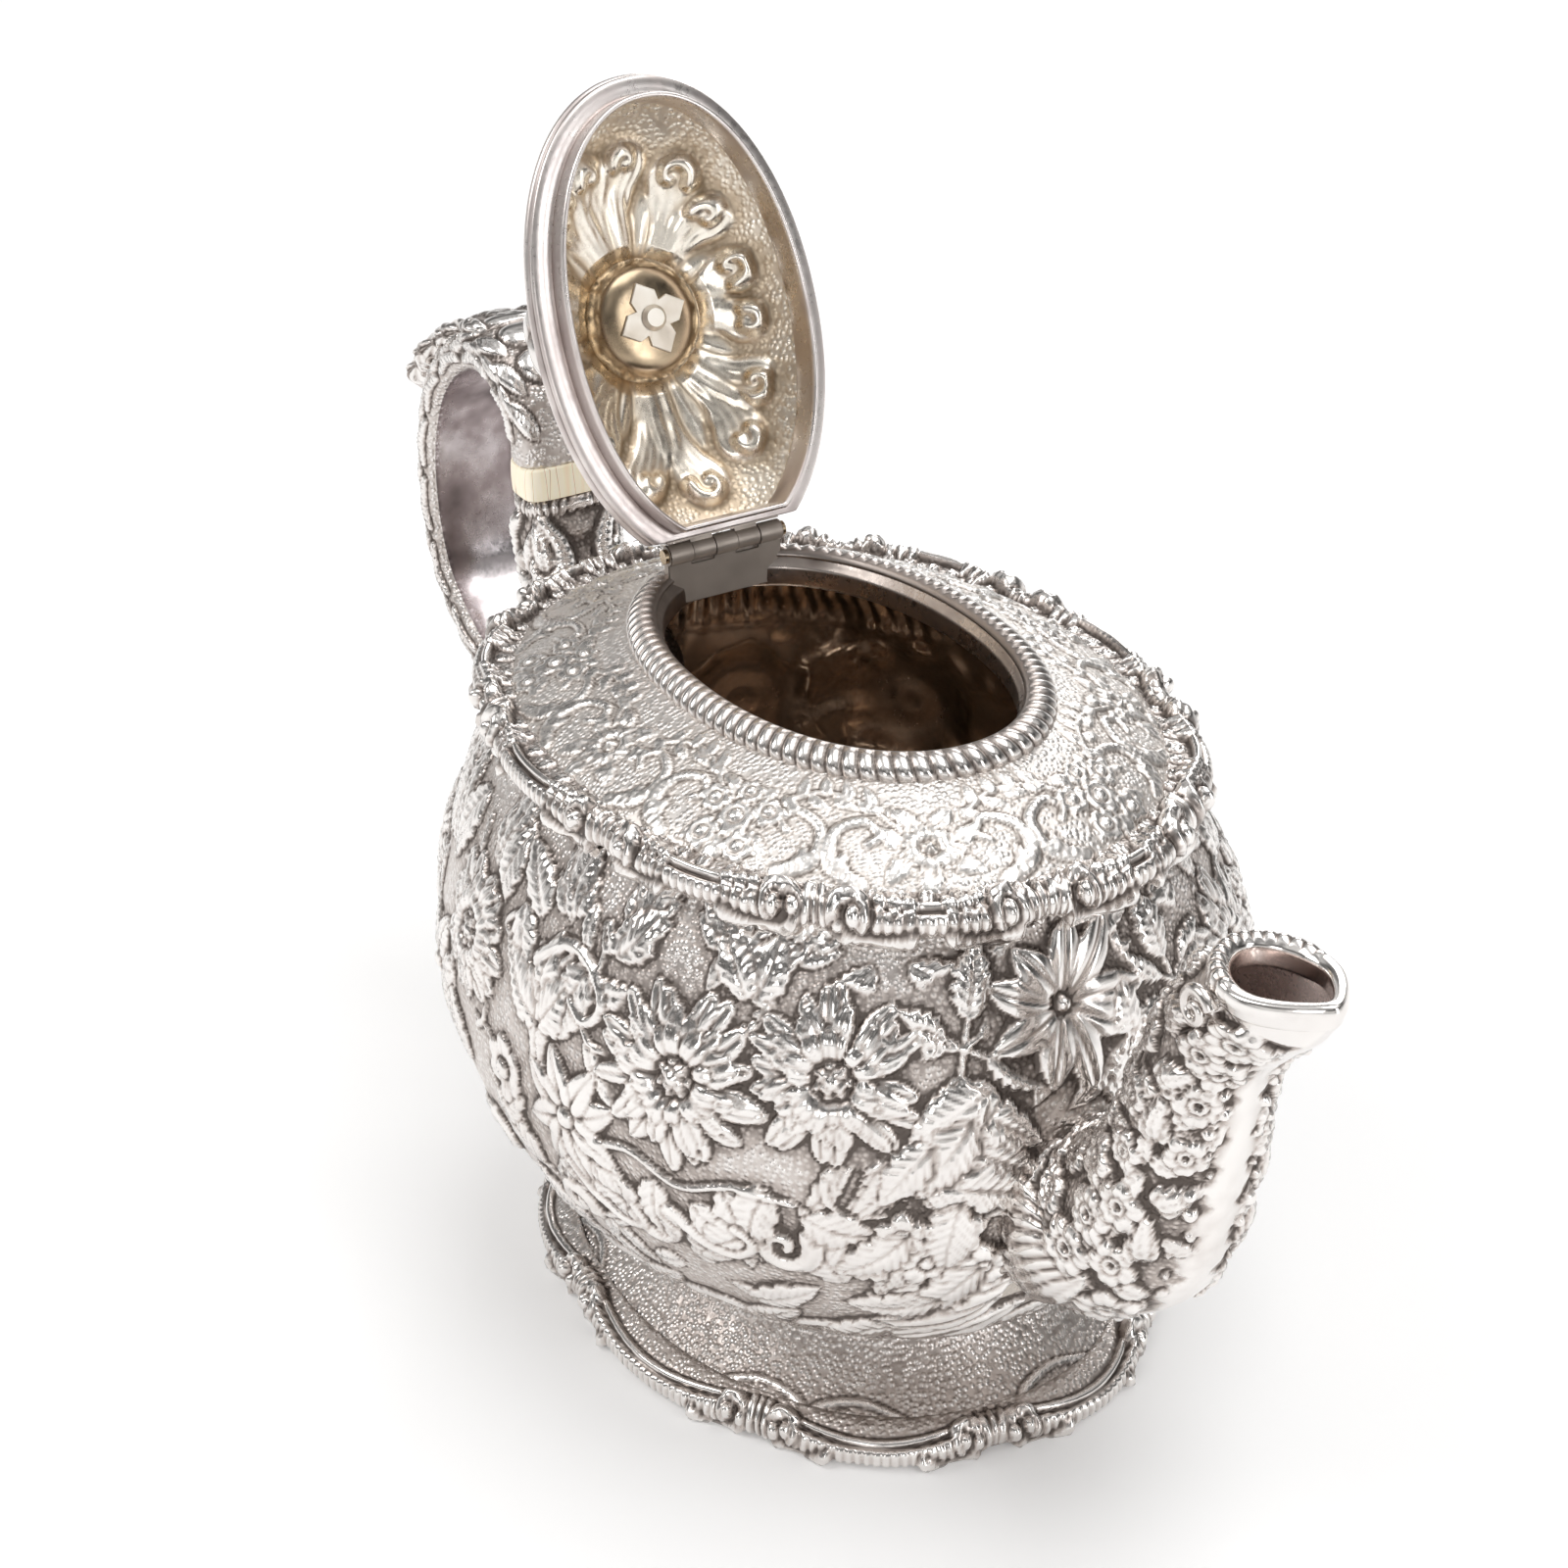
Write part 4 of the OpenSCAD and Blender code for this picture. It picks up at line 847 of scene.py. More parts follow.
IVORY.node_tree.nodes["Principled BSDF"].inputs["Emission Strength"].default_value = 0.20


K = 2 if Q else 1


def chart(W, H, P, L, ratio=None, wrap=True):
    return Relief(W, H, P / W, L / max(1, H - 1), ratio, wrap)


# ------------------------------------------------------------------ the pot's bowl
WB, HB = 1040 // K, 244 // K
tB, PB = arc_t(79.6, 64.2, WB)
profB, LB = smooth(BELLY, HB)
ratB = lambda v: float(np.interp(v, np.linspace(0, LB, HB), (profB[:, 0] + profB[:, 1]) / 143.8))
RB = chart(WB, HB, PB, LB, ratB)
body_relief(RB, PB)
hB, cavB, gndB = RB.finish(matt=0.06)
GB = oval_grid(profB, tB)
nB = normals2(GB)
dispB = 0.72 * hB - 0.5
outB = GB + nB * dispB[..., None]
under = oval_grid([(3, 2, 16.2), (20, 14, 16.2), (42, 29, 16.4)], tB)
holeB = np.zeros((HB, WB), bool)
zB = profB[:, 2]
tt = (tB + np.pi) % TAU - np.pi
holeB[:] = ((zB > 42) & (zB < 61))[:, None] & (np.abs(tt) < math.radians(9.5))[None]
allB = np.concatenate([under, outB])
fB = quads(HB + 3, WB)
maskB = np.concatenate([np.zeros((3, WB), bool), holeB])[: HB + 2].ravel()
fB = fB[~maskB]
pad = lambda a: np.concatenate([np.repeat(a[:1], 3, 0), a])
WL, ML = 520 // K, 122 // K
tL, _ = arc_t(79.6, 64.2, WL)
profL, _ = smooth(BELLY, ML)
dL = box_blur(dispB, 3)[np.linspace(0, HB - 1, ML).astype(int)][:, np.linspace(0, WB, WL, endpoint=False).astype(int)]
GL = oval_grid(profL, tL)
zL = profL[:, 2][:, None]
uL = np.linspace(0, PB, WL, endpoint=False)[None]
reed = np.exp(-((zL - 99.5) / 4.5) ** 2) * 0.45 * np.sin(uL * TAU / 3.6) + 0.25 * np.exp(-((zL - 93) / 0.9) ** 2)
inL = GL - normals2(GL) * (1.35 - dL + reed)[..., None]
floorL = oval_grid([(3, 2, 17.4), (24, 17, 17.5), (42, 29, 17.9)], tL)
linL = np.concatenate([floorL, inL])[:, ::-1]
fL = quads(ML + 3, WL)
ttL = (tL[::-1] + np.pi) % TAU - np.pi
hl = ((profL[:, 2] > 42) & (profL[:, 2] < 61))[:, None] & (np.abs(ttL) < math.radians(9.5))[None]
fL = fL[~np.concatenate([np.zeros((3, WL), bool), hl])[: ML + 2].ravel()]
mesh("bowl", [(allB, [fB, np.arange(WB)[::-1]], {"cav": pad(cavB), "gnd": pad(gndB)}, 0),
              (linL, [fL, np.arange(WL)[::-1]], {"cav": np.clip(0.12 + 0.6 * np.concatenate([np.zeros((3, WL)), reed + dL * 0.5])[:, ::-1], 0, 1)}, 1)],
     [CHASED, LINING], "pot", "body_bowl")

# ------------------------------------------------------------------ shoulder
WS, HS = 860 // K, 62 // K
tS, PS = arc_t(58, 41, WS)
profS, LS = smooth(SHOULDER, HS)
ratS = lambda v: float(np.interp(v, np.linspace(0, LS, HS), (profS[:, 0] + profS[:, 1]) / 99.0))
RS = chart(WS, HS, PS, LS, ratS)
shoulder_relief(RS, PS, LS)
hS, cavS, gndS = RS.finish(matt=0.04, matt_cell=0.8, grain=0.01)
GS = oval_grid(np.stack([profS[:, 0], profS[:, 1], profS[:, 2], profS[:, 3]], 1), tS)
topS = GS + normals2(GS)[..., :] * (0.58 * hS - 0.12)[..., None]
inS = GS - normals2(GS) * 1.25
fS = quads(HS, WS)
loop = np.stack([(HS - 1) * WS + np.arange(WS), (HS - 1) * WS + (np.arange(WS) + 1) % WS, 2 * HS * WS - WS + (np.arange(WS) + 1) % WS, 2 * HS * WS - WS + np.arange(WS)], 1)
loop0 = np.stack([np.arange(WS), HS * WS + np.arange(WS), HS * WS + (np.arange(WS) + 1) % WS, (np.arange(WS) + 1) % WS], 1)
both = np.concatenate([topS.reshape(-1, 3), inS.reshape(-1, 3)])
mesh("shoulder", [(both, [fS, loop, loop0], {"cav": np.concatenate([cavS.ravel(), 0 * cavS.ravel() + 0.6]), "gnd": np.concatenate([gndS.ravel(), 0 * gndS.ravel()])}, 0),
                  (inS, [fS[:, ::-1]], {"cav": 0.7}, 1)], [FLATCHASED, LINING], "pot", "shoulder_plate")


# ------------------------------------------------------------------ borders of scrolls
def border(name, node, P, lobes, phase, amp, zk, W, M, draw, seed, body="pot", lift=1.0):
    C, L = closed_curve(P, M)
    t, PP = arc_t(P[2][0], P[2][1], W)
    d = (2 * amp * np.abs(np.sin(lobes * t + math.radians(phase))) - amp)[None] * C[:, 3:4]
    c, s = se(np.cos(t))[None], se(np.sin(t))[None]
    G = np.stack([(C[:, :1] + d) * c, (C[:, 1:2] + d) * s, C[:, 2:3] + zk * d], -1)
    R = Relief(W, M, PP / W, L / M)
    cusp = np.interp((np.arange(2 * lobes) * np.pi - math.radians(phase)) / lobes % TAU, np.append(t, TAU), np.append(np.arange(W), W) * PP / W)
    draw(R, np.sort(cusp), PP, L)
    h, cav, gnd = R.finish(matt=0.08, matt_cell=0.7, cav_r=1.1)
    G = G + normals2(G, wv=True) * (lift * h - 0.3)[..., None]
    G[..., 2] = np.maximum(G[..., 2], 0.03)
    return mesh(name, [(G, [quads(M, W, wv=True)], {"cav": cav, "gnd": gnd * 0.8}, 0)], CHASED, body, node)


def shoulder_scrolls(R, cusps, P, L):
    n = len(cusps)
    mid = 5.0
    for k in range(n):
        a, b = cusps[k], cusps[(k + 1) % n] + (P if k == n - 1 else 0)
        w = b - a
        sg = 1 if k % 2 else -1
        R.stroke([(a + 1, mid + 1.2), (a + w * 0.25, mid - 0.6), (a + w * 0.5, mid - 1.2), (a + w * 0.75, mid - 0.6), (b - 1, mid + 1.2)], 2.6, 2.6, 1.4, hatch=1.6, flat=True)
        R.stroke([(a + 1, mid + 4.2), (a + w * 0.3, mid + 2.8), (a + w * 0.5, mid + 2.3), (a + w * 0.7, mid + 2.8), (b - 1, mid + 4.2)], 0.7, 0.7, 1.7)
        R.stroke([(a + 3, mid - 2.6), (a + w * 0.3, mid - 4.2), (a + w * 0.7, mid - 4.2), (b - 3, mid - 2.6)], 0.75, 0.75, 1.8)
        for q in range(7):
            R.leaf(a + w * (0.14 + 0.12 * q), mid + 3.6, 75 + (8 if q % 2 else -8), 4.2, 1.2, h=0.8, vein=1.1)
            R.leaf(a + w * (0.14 + 0.12 * q), mid - 4.6, -80, 3.4, 1.1, h=0.8, vein=1.1)
        for e, d in ((a, 1), (b, -1)):
            R.stroke([(e + d * 15, mid - 1.6), (e + d * 10, mid - 3.4), (e + d * 5.2, mid - 3.0), (e + d * 2.8, mid - 0.4), (e + d * 4.0, mid + 2.6), (e + d * 7.0, mid + 2.6), (e + d * 7.2, mid + 0.2)], 0.8, 1.6, 2.7, reed=2, under=0.5)
            R.bead(e + d * 6.4, mid + 0.4, 1.3, 3.1)
            for q in range(3):
                R.leaf(e + d * (9.5 + 2.2 * q), mid + 1.2 - 0.3 * q, 90 - d * 30, 4.6, 1.2, bend=0.3 * d, h=1.9, vein=50, mid=0.5, under=0.4)
    for k, c in enumerate(cusps):
        if k % 2:
            for q in range(-2, 3):
                R.leaf(c + q * 1.15, mid - 3.4, 90 + q * -9, 8.6, 1.0, h=1.7, vein=50, mid=0.0, fat=0.7)
            R.bead(c, mid - 3.6, 1.3, 1.9)
        else:
            for q in (-1.7, 0, 1.7):
                R.stroke([(c + q, mid - 4.2), (c + q * 0.9, mid), (c + q * 0.7, mid + 4.6)], 0.75, 0.75, 1.8)
            R.bead(c - 3.8, mid + 0.6, 1.3, 1.8)
            R.bead(c + 3.8, mid - 1.2, 1.0, 1.6)


def foot_scrolls(R, cusps, P, L):
    n = len(cusps)
    mid = 4.4
    for k in range(n):
        a, b = cusps[k], cusps[(k + 1) % n] + (P if k == n - 1 else 0)
        w = b - a
        R.stroke([(a + 1, mid + 1.2), (a + w * 0.25, mid - 0.8), (a + w * 0.5, mid - 1.3), (a + w * 0.75, mid - 0.8), (b - 1, mid + 1.2)], 1.7, 1.7, 1.7, hatch=1.5, flat=True)
        R.stroke([(a + 1, mid + 3.3), (a + w * 0.5, mid + 1.1), (b - 1, mid + 3.3)], 0.7, 0.7, 1.0)
        for e, d in ((a, 1), (b, -1)):
            R.stroke([(e + d * 13, mid - 1.4), (e + d * 9, mid - 2.8), (e + d * 4.8, mid - 2.4), (e + d * 2.6, mid - 0.2), (e + d * 3.7, mid + 2.3), (e + d * 6.2, mid + 2.3), (e + d * 6.4, mid + 0.2)], 0.8, 1.4, 2.4, reed=2, under=0.5)
            R.bead(e + d * 5.7, mid + 0.4, 1.1, 2.7)
    for k, c in enumerate(cusps):
        if k % 2:
            for q in range(-2, 3):
                R.leaf(c + q * 1.0, mid - 2.6, 90 + q * -10, 7.4, 0.9, h=1.9, vein=50, mid=0.0, fat=0.7)
        else:
            for q in (-1.6, 0, 1.6):
                R.stroke([(c + q, mid - 3), (c + q, mid), (c + q, mid + 3.6)], 0.7, 0.7, 1.9)
        R.bead(c + 3.4, mid - 0.2, 1.2, 2.0)
        R.bead(c - 3.4, mid - 0.2, 1.0, 1.8)


border("shoulder_scroll_border", "shoulder_border",
       [[69.4, 49.6, 105.8, 0], [71.4, 51.2, 106, 0.6], [72.8, 52.4, 107.4, 1], [72.4, 52, 109, 1], [70.4, 50.8, 110, 0.7], [66.6, 47.4, 110.4, 0.2], [66.4, 47.2, 109.3, 0], [68.6, 49, 107.4, 0]],
       5, 22, 1.1, 0.25, 1150 // K, 60 // K, shoulder_scrolls, 5)
border("foot_scroll_border", "foot_border",
       [[61, 46.5, 0.9, 0], [63, 48.4, 1.2, 1], [63.6, 49, 2.8, 1], [62, 47.5, 4.8, 1], [58.9, 44.6, 6, 0.6], [58, 43.7, 5.4, 0], [60.6, 46.1, 3.6, 0]],
       4, 30, 0.9, 0, 1000 // K, 56 // K, foot_scrolls, 6)


# ------------------------------------------------------------------ mouth
def mouth_grid(P, N, M, a=40, b=23.6, cx=MX, wrapv=True):
    C, L = closed_curve(P, M)
    t, PP = arc_t(a, b, N)
    x, y = a * se(np.cos(t)), b * se(np.sin(t))
    gx, gy = np.sign(x) * (np.abs(x) / a) ** (OV - 1) / a, np.sign(y) * (np.abs(y) / b) ** (OV - 1) / b
    g = np.hypot(gx, gy)
    return np.stack([cx + x + C[:, :1] * gx / g, y + C[:, :1] * gy / g, C[:, 1:2] + 0 * x], -1), L, PP


GZ, LZ, PZ = mouth_grid([[0, 116], [1.2, 116], [4.4, 118.5], [4.2, 119.8], [2.4, 121.3], [1.4, 120.9], [0.3, 119.6], [0, 119.2]], 560 // K, 44 // K)
mesh("mouth_band", [(GZ, [quads(44 // K, 560 // K, wv=True)], {"cav": 0.08 + 0.35 * value_noise(GZ.shape[:2], 9, 4)}, 0)], SATIN_DARK, "pot", "mouth_bezel")
MG, NG = 52 // K, 1080 // K
GG, LG, PG = mouth_grid([[1.3, 120.6], [5.4, 118.6], [6.0, 119.8], [5.2, 121.1], [3.6, 122.0], [2.0, 122.1], [1.2, 121.6]], NG, MG)
uG, vG = np.meshgrid(np.arange(NG) * PG / NG, np.arange(MG) * LG / MG)
lob = np.abs(np.sin(np.pi * (uG / (PG / 88) + 0.09 * vG))) ** 0.6
band = np.clip(np.sin(np.pi * np.clip((vG - 4.0) / 7.4, 0, 1)), 0, 1)
GG = GG + normals2(GG, wv=True) * ((0.75 * lob - 0.5) * band ** 0.4)[..., None]
mesh("gadroon_ring", [(GG, [quads(MG, NG, wv=True)], {"cav": np.clip((1 - lob) ** 2 * 1.5 * band + 0.5 * (1 - band), 0, 1)}, 0)], CHASED, "pot", "mouth_gadroon_ring")

# ------------------------------------------------------------------ foot
WF, HF = 820 // K, 60 // K
tF, PF = arc_t(54, 40, WF)
profF, LF = smooth([(61.4, 46.9, 1.2), (61.8, 47.3, 3), (58.8, 44.4, 4.8), (54.2, 39.9, 7.4), (50.2, 36.2, 10.6), (47.4, 33.7, 14), (46.1, 32.5, 17.4)], HF)
RF = chart(WF, HF, PF, LF)
foot_relief(RF, PF, LF)
hF, cavF, gndF = RF.finish(matt=0.12, matt_cell=0.8)
GF = oval_grid(profF, tF)
outF = GF + normals2(GF) * (0.55 * hF - 0.1)[..., None]
inF = GF - normals2(GF) * 1.3
inF[..., 2] = np.minimum(np.maximum(inF[..., 2], 1.2), 16.6)
f0 = quads(HF, WF)
mesh("foot_flare", [(outF, [f0], {"cav": cavF, "gnd": gndF}, 0), (inF, [f0[:, ::-1]], {"cav": 0.6}, 1)], [CHASED, WORN], "pot", "foot_pedestal")

# ------------------------------------------------------------------ spout
NECK = [[75, 55.2, -11, 16.4, 15.4], [80.4, 56.2, 12, 16.2, 15], [86.8, 59.4, 30, 15.2, 14.2], [93.2, 63.6, 48, 14.2, 13], [98.2, 71, 62, 12.8, 12], [102, 79.6, 70, 11.6, 11],
        [105.2, 89, 73, 10.8, 10], [108, 98, 73, 9.8, 9], [111, 105.6, 70, 9.4, 8.2], [115.6, 112, 68, 10, 7.8], [121.4, 117.2, 76, 10.8, 7.6]]
MN, WN = 200 // K, 216 // K
GN, LN = tube_rows(NECK, MN, WN)
GN = GN[:, ::-1]
PN = 76.0
RN = chart(WN, MN, PN, LN, lambda v: float(np.interp(v, [0, 20, 40, 60, 90], [1.3, 1.15, 0.95, 0.8, 0.72])))
spout_relief(RN, PN, LN)
hN, cavN, gndN = RN.finish(matt=0.06)
nN = normals2(GN)
if (nN[MN // 2, :, 1] * GN[MN // 2, :, 1]).sum() < 0:
    nN = -nN
fade = np.clip((LN - np.arange(MN)[:, None] * LN / MN - 0.3) / 1.6, 0, 1)
outN = GN + nN * ((0.72 * hN - 0.3) * fade)[..., None]
inN, _ = tube_rows(NECK, 90 // K, 108 // K, shrink=1.5)


def collar(ring, N, rows, d, z0, rev):
    """Rings that carry the tube's end out to the underside of the lip."""
    t = np.linspace(0, TAU, N, endpoint=False)
    if rev:
        t = t[::-1]
    c = -np.cos(t)
    f = np.where(c > 0, 1 - 0.42 * np.abs(c) ** 2.2, 1 + 0.06 * c)
    B = np.stack([123.2 + (9.6 + d) * c + np.where(c > 0, 2 * c * c, 0), -(7.6 + d) * np.sin(t) * f, z0 + np.where(c > 0, 1.4 * c * c, 0.6 * c * c)], -1)
    k = np.linspace(0, 1, rows + 1)[1:, None, None]
    k = k ** 2.3
    return ring[None] * (1 - k) + B[None] * k


outN = np.concatenate([outN, collar(outN[-1], WN, 14, 0.3, 117.6, True)])
inN = np.concatenate([inN, collar(inN[-1], 108 // K, 14, -1.2, 117.9, False)])
padN = lambda a: np.concatenate([a, np.repeat(a[-1:] * 0, 14, 0)])
fN = quads(MN + 14, WN)
fI = quads(90 // K + 14, 108 // K)
mesh("spout", [(outN, [fN if (nN[5, 5] @ np.cross(GN[5, 6] - GN[5, 5], GN[6, 5] - GN[5, 5])) > 0 else fN[:, ::-1]], {"cav": padN(cavN * fade), "gnd": padN(gndN * fade)}, 0), (inN, [fI], {"cav": 0.05}, 1)],
     [CHASED, THROAT], "pot", "spout_tube")
ML2, WL2 = 48 // K, 420 // K
CL, LL = closed_curve([[0.2, 116.8], [0.9, 117.8], [1.5, 119.4], [1, 120.9], [-0.4, 121], [-1.4, 120.2], [-1.5, 118.4], [-1.1, 116.8]], ML2)
tl = np.linspace(0, TAU, WL2, endpoint=False)[None]
cl, sl = np.cos(tl), np.sin(tl)
fl = np.where(cl > 0, 1 - 0.42 * np.abs(cl) ** 2.2, 1 + 0.06 * cl)
GLp = np.stack([123.2 + (9.6 + CL[:, :1]) * cl + np.where(cl > 0, 2 * cl * cl, 0), (7.6 + CL[:, :1]) * sl * fl, CL[:, 1:2] + 0.4 + np.where(cl > 0, 1.4 * cl * cl, 0.6 * cl * cl)], -1)
ul = np.arange(WL2)[None] * 54 / WL2
back = np.clip((-cl - 0.05) * 3, 0, 1)
vl = np.arange(ML2)[:, None] / ML2
onout = np.clip(np.sin(np.pi * np.clip((vl - 0.05) / 0.5, 0, 1)) * 1.6, 0, 1)
bd = np.abs(np.sin(ul * np.pi / 1.9)) ** 0.6
GLp = GLp + normals2(GLp, wv=True) * ((0.4 * bd + 0.1) * back * onout - 0.15 * (1 - back) * onout)[..., None]
def curl3(c, r0, turns, a0, w0, w1, side):
    """A volute of round wire in a plane along X and Z."""
    t = np.linspace(0, 1, 90)
    r = r0 * (1 - 0.82 * t)
    a = a0 + TAU * turns * t
    P = np.stack([c[0] + r * np.cos(a), np.full_like(t, c[1]) + side * 0.9 * t, c[2] + r * np.sin(a)], 1)
    T3 = np.gradient(P, axis=0)
    T3 /= np.linalg.norm(T3, axis=1, keepdims=True)
    B3 = np.tile([0.0, 1.0, 0.0], (90, 1))
    N3 = np.cross(T3, B3)
    th = np.linspace(0, TAU, 20, endpoint=False)
    w = (w0 + (w1 - w0) * t)[:, None, None]
    G = P[:, None] + w * (N3[:, None] * np.cos(th)[None, :, None] + B3[:, None] * np.sin(th)[None, :, None])
    return (G, [quads(90, 20)] + caps(90, 20), {"cav": 0.1}, 0)


mesh("spout_lip", [curl3((117.4, -9.4, 115.8), 3.3, 1.35, math.radians(20), 1.05, 0.55, -1), curl3((117.4, 9.4, 115.8), 3.3, 1.35, math.radians(20), 1.05, 0.55, 1), (GLp, [quads(ML2, WL2, wv=True)], {"cav": np.clip((1 - bd) ** 2 * 1.4 * back * onout, 0, 1)}, 0)], CHASED, "pot", "spout_lip_rim")


# ------------------------------------------------------------------ handle
def relief_bar(name, node, S, M, N, n, draw, P, mats, inner_mat=None, lift=0.8, caps_on=True, seed=8, ratio=None):
    G, L = tube_rows(S, M, N, n)
    R = Relief(N, M, P / N, L / (M - 1), ratio)
    draw(R, P, L)
    h, cav, gnd = R.finish(matt=0.06, cav_r=1.3)
    nn = normals2(G)
    c = G.mean(1, keepdims=True)
    sgn = np.sign(((G - c) * nn).sum())
    G2 = G + sgn * nn * (lift * h - 0.15)[..., None]
    f = quads(M, N)
    f = f if sgn > 0 else f[:, ::-1]
    e = caps(M, N)
    if sgn < 0:
        e = [x[::-1] for x in e]
    parts = [(G2, [f] + e, {"cav": cav, "gnd": gnd}, 0)]
    ob = mesh(name, parts, mats, "pot", node)
    if inner_mat is not None:
        k = np.arange(N) / N
        col = (k < inner_mat) | (k > 1 - inner_mat)
        mi = np.zeros(len(ob.data.polygons), np.int32)
        mi[: (M - 1) * N] = np.tile(col, M - 1)
        ob.data.polygons.foreach_set("material_index", mi)
    return ob


GRIP = [[-100.8, 119.6, 90, 5, 9.2], [-101.6, 125, 98, 4.9, 9.4], [-104.6, 131, 122, 4.9, 9.8], [-111, 135.4, 154, 4.9, 10], [-120, 135.6, 194, 4.7, 10], [-129.6, 131, 216, 4.2, 10],
        [-137.4, 123.8, 234, 4, 10], [-142.6, 114.8, 250, 3.8, 10], [-145.3, 105, 264, 3.8, 10], [-145.2, 93.4, 276, 3.8, 10], [-142, 83.4, 297, 3.8, 10], [-135.4, 76, 315, 4, 10],
        [-126.6, 69.6, 326, 4.2, 9.6], [-116, 64, 335, 4.2, 9], [-106.2, 60.2, 340, 4.4, 8.4]]
relief_bar("handle_strap", "handle_grip", GRIP, 340 // K, 128 // K, 3.0, grip_relief, 48.0, [CHASED, MIRROR], inner_mat=0.135)
THUMB = [[-117, 139.9, 188, 1.6, 6], [-121, 139.3, 192, 1.9, 9.2], [-126, 138.0, 200, 2.1, 8.2], [-131, 135.8, 208, 2.2, 10.6], [-136, 133.0, 212, 2.2, 9.2], [-141, 129.2, 216, 2.2, 11.4], [-145.6, 125.6, 220, 2.2, 9.4], [-149.6, 121.8, 224, 2.0, 10.2], [-152.6, 117.8, 240, 1.6, 6.6], [-153.4, 114.6, 262, 1.1, 3.4]]
relief_bar("handle_leaf", "handle_thumb_leaf", THUMB, 110 // K, 100 // K, 2.2, thumb_relief, 36.0, CHASED, lift=0.8)
UP = [[-69.5, 86, 182, 9, 8], [-78, 85.8, 176, 8.6, 8.2], [-86, 87.2, 158, 8, 8.4], [-93.4, 91.6, 132, 7.2, 8.6], [-98, 98.4, 108, 6.4, 8.8], [-100, 106, 96, 5.8, 9], [-100.6, 113.2, 90, 5.2, 9]]
relief_bar("upper_socket", "handle_upper_socket", UP, 130 // K, 128 // K, 2.6, socket_relief, 48.0, CHASED, lift=0.8)
LOW = [[-100.55, 58.15, 340, 4.6, 8.6], [-94, 56, 342, 5, 8.4], [-87, 54, 346, 6, 8], [-78.4, 52.4, 352, 7.4, 8]]
relief_bar("lower_socket", "handle_lower_socket", LOW, 70 // K, 128 // K, 2.6, socket_relief, 46.0, CHASED, lift=0.8)


def insulator(name, node, a, b, h, place):
    rows = [(0.93, 0), (0.985, 0.12), (1.0, 0.5), (1.012, h * 0.35), (1.012, h * 0.65), (1.0, h - 0.5), (0.985, h - 0.12), (0.93, h)]
    C, _ = smooth([(k, 0, z) for k, z in rows], 40)
    t = np.linspace(0, TAU, 160, endpoint=False)[None]
    c, s = se(np.cos(t), 4.5), se(np.sin(t), 4.5)
    G = np.stack([a * C[:, :1] * c, b * C[:, :1] * s, C[:, 2:3] + 0 * c], -1)
    G = G * [1, 1, 1]
    G = np.einsum("ij,mnj->mni", place[0], G) + place[1]
    return mesh(name, [(G, [quads(40, 160)] + caps(40, 160), {}, 0)], IVORY, "pot", node)


insulator("upper_ivory", "handle_upper_insulator", 5.2, 9.2, 6.4, (np.eye(3), np.array([-100.6, 0, 113.2])))
r110 = np.array(Matrix.Rotation(math.radians(110), 3, "Y"))
insulator("lower_ivory", "handle_lower_insulator", 4.8, 8.8, 6.0, (r110, np.array([-106.2, 0, 60.2])))

# ------------------------------------------------------------------ lid
DOME = [(40.6, 25.4, 126.6, 2.7), (38.4, 23.6, 129.4, 2.8), (34.4, 20.6, 132.9, 3), (28.4, 17, 136.4, 3.3), (20, 12.6, 139.6, 3.6), (11, 8.4, 141.8, 3.9), (3.4, 3.4, 142.6, 4.1)]
CUT = -33.2


def dome_grid(M, t, drop):
    P = np.array(DOME, float)
    s, _ = smooth(np.stack([P[:, 0], P[:, 1], P[:, 3], P[:, 2]], 1), M)
    a, b, cx, z = s.T
    g = oval_grid(np.stack([a - drop, b - drop, z - drop * np.linspace(0.1, 1.0, M), cx], 1), t)
    g[..., 0] = np.maximum(g[..., 0], np.interp(np.arange(M) / M, [0, 0.3, 0.4, 1], [CUT + drop, CUT + drop, CUT + 0.6 + drop, -99])[:, None])
    return g


MD, WD = 96 // K, 620 // K
tD, PD = arc_t(34, 21, WD)
GD = dome_grid(MD, tD, 0.0)
RD = chart(WD, MD, PD, 46.0, lambda v: float(np.interp(v, [0, 20, 46], [1.15, 0.8, 0.2])))
lid_relief(RD, PD, 46.0)
hD, cavD, gndD = RD.finish(matt=0.07)
fadeD = np.clip(np.arange(MD) / 6, 0, 1)[:, None] * np.clip((MD - np.arange(MD)) / 12, 0, 1)[:, None]
outD = GD + normals2(GD) * ((0.5 * hD - 0.1) * fadeD)[..., None]
# the underside, seen when the lid stands open: a fan of reeded lobes with curled tips
SX = 0.35 * K
RI = Relief(int(90 / SX), int(56 / SX), SX, SX, None, wrap=False)
fan_relief(RI, 42.0, 28.0)
hI, cavI, gndI = RI.finish(grain=0.06, matt=0.04, matt_cell=1.1, cav_r=2.0)
MI, WI = 150 // K, 620 // K
GI = dome_grid(MI, arc_t(34, 21, WI)[0], 1.2)


def sample(A, x, y):
    fx, fy = np.clip((x + 42.0) / SX, 0, A.shape[1] - 1.01), np.clip((y + 28.0) / SX, 0, A.shape[0] - 1.01)
    i, j = fx.astype(int), fy.astype(int)
    fx, fy = fx - i, fy - j
    return (A[j, i] * (1 - fx) + A[j, i + 1] * fx) * (1 - fy) + (A[j + 1, i] * (1 - fx) + A[j + 1, i + 1] * fx) * fy


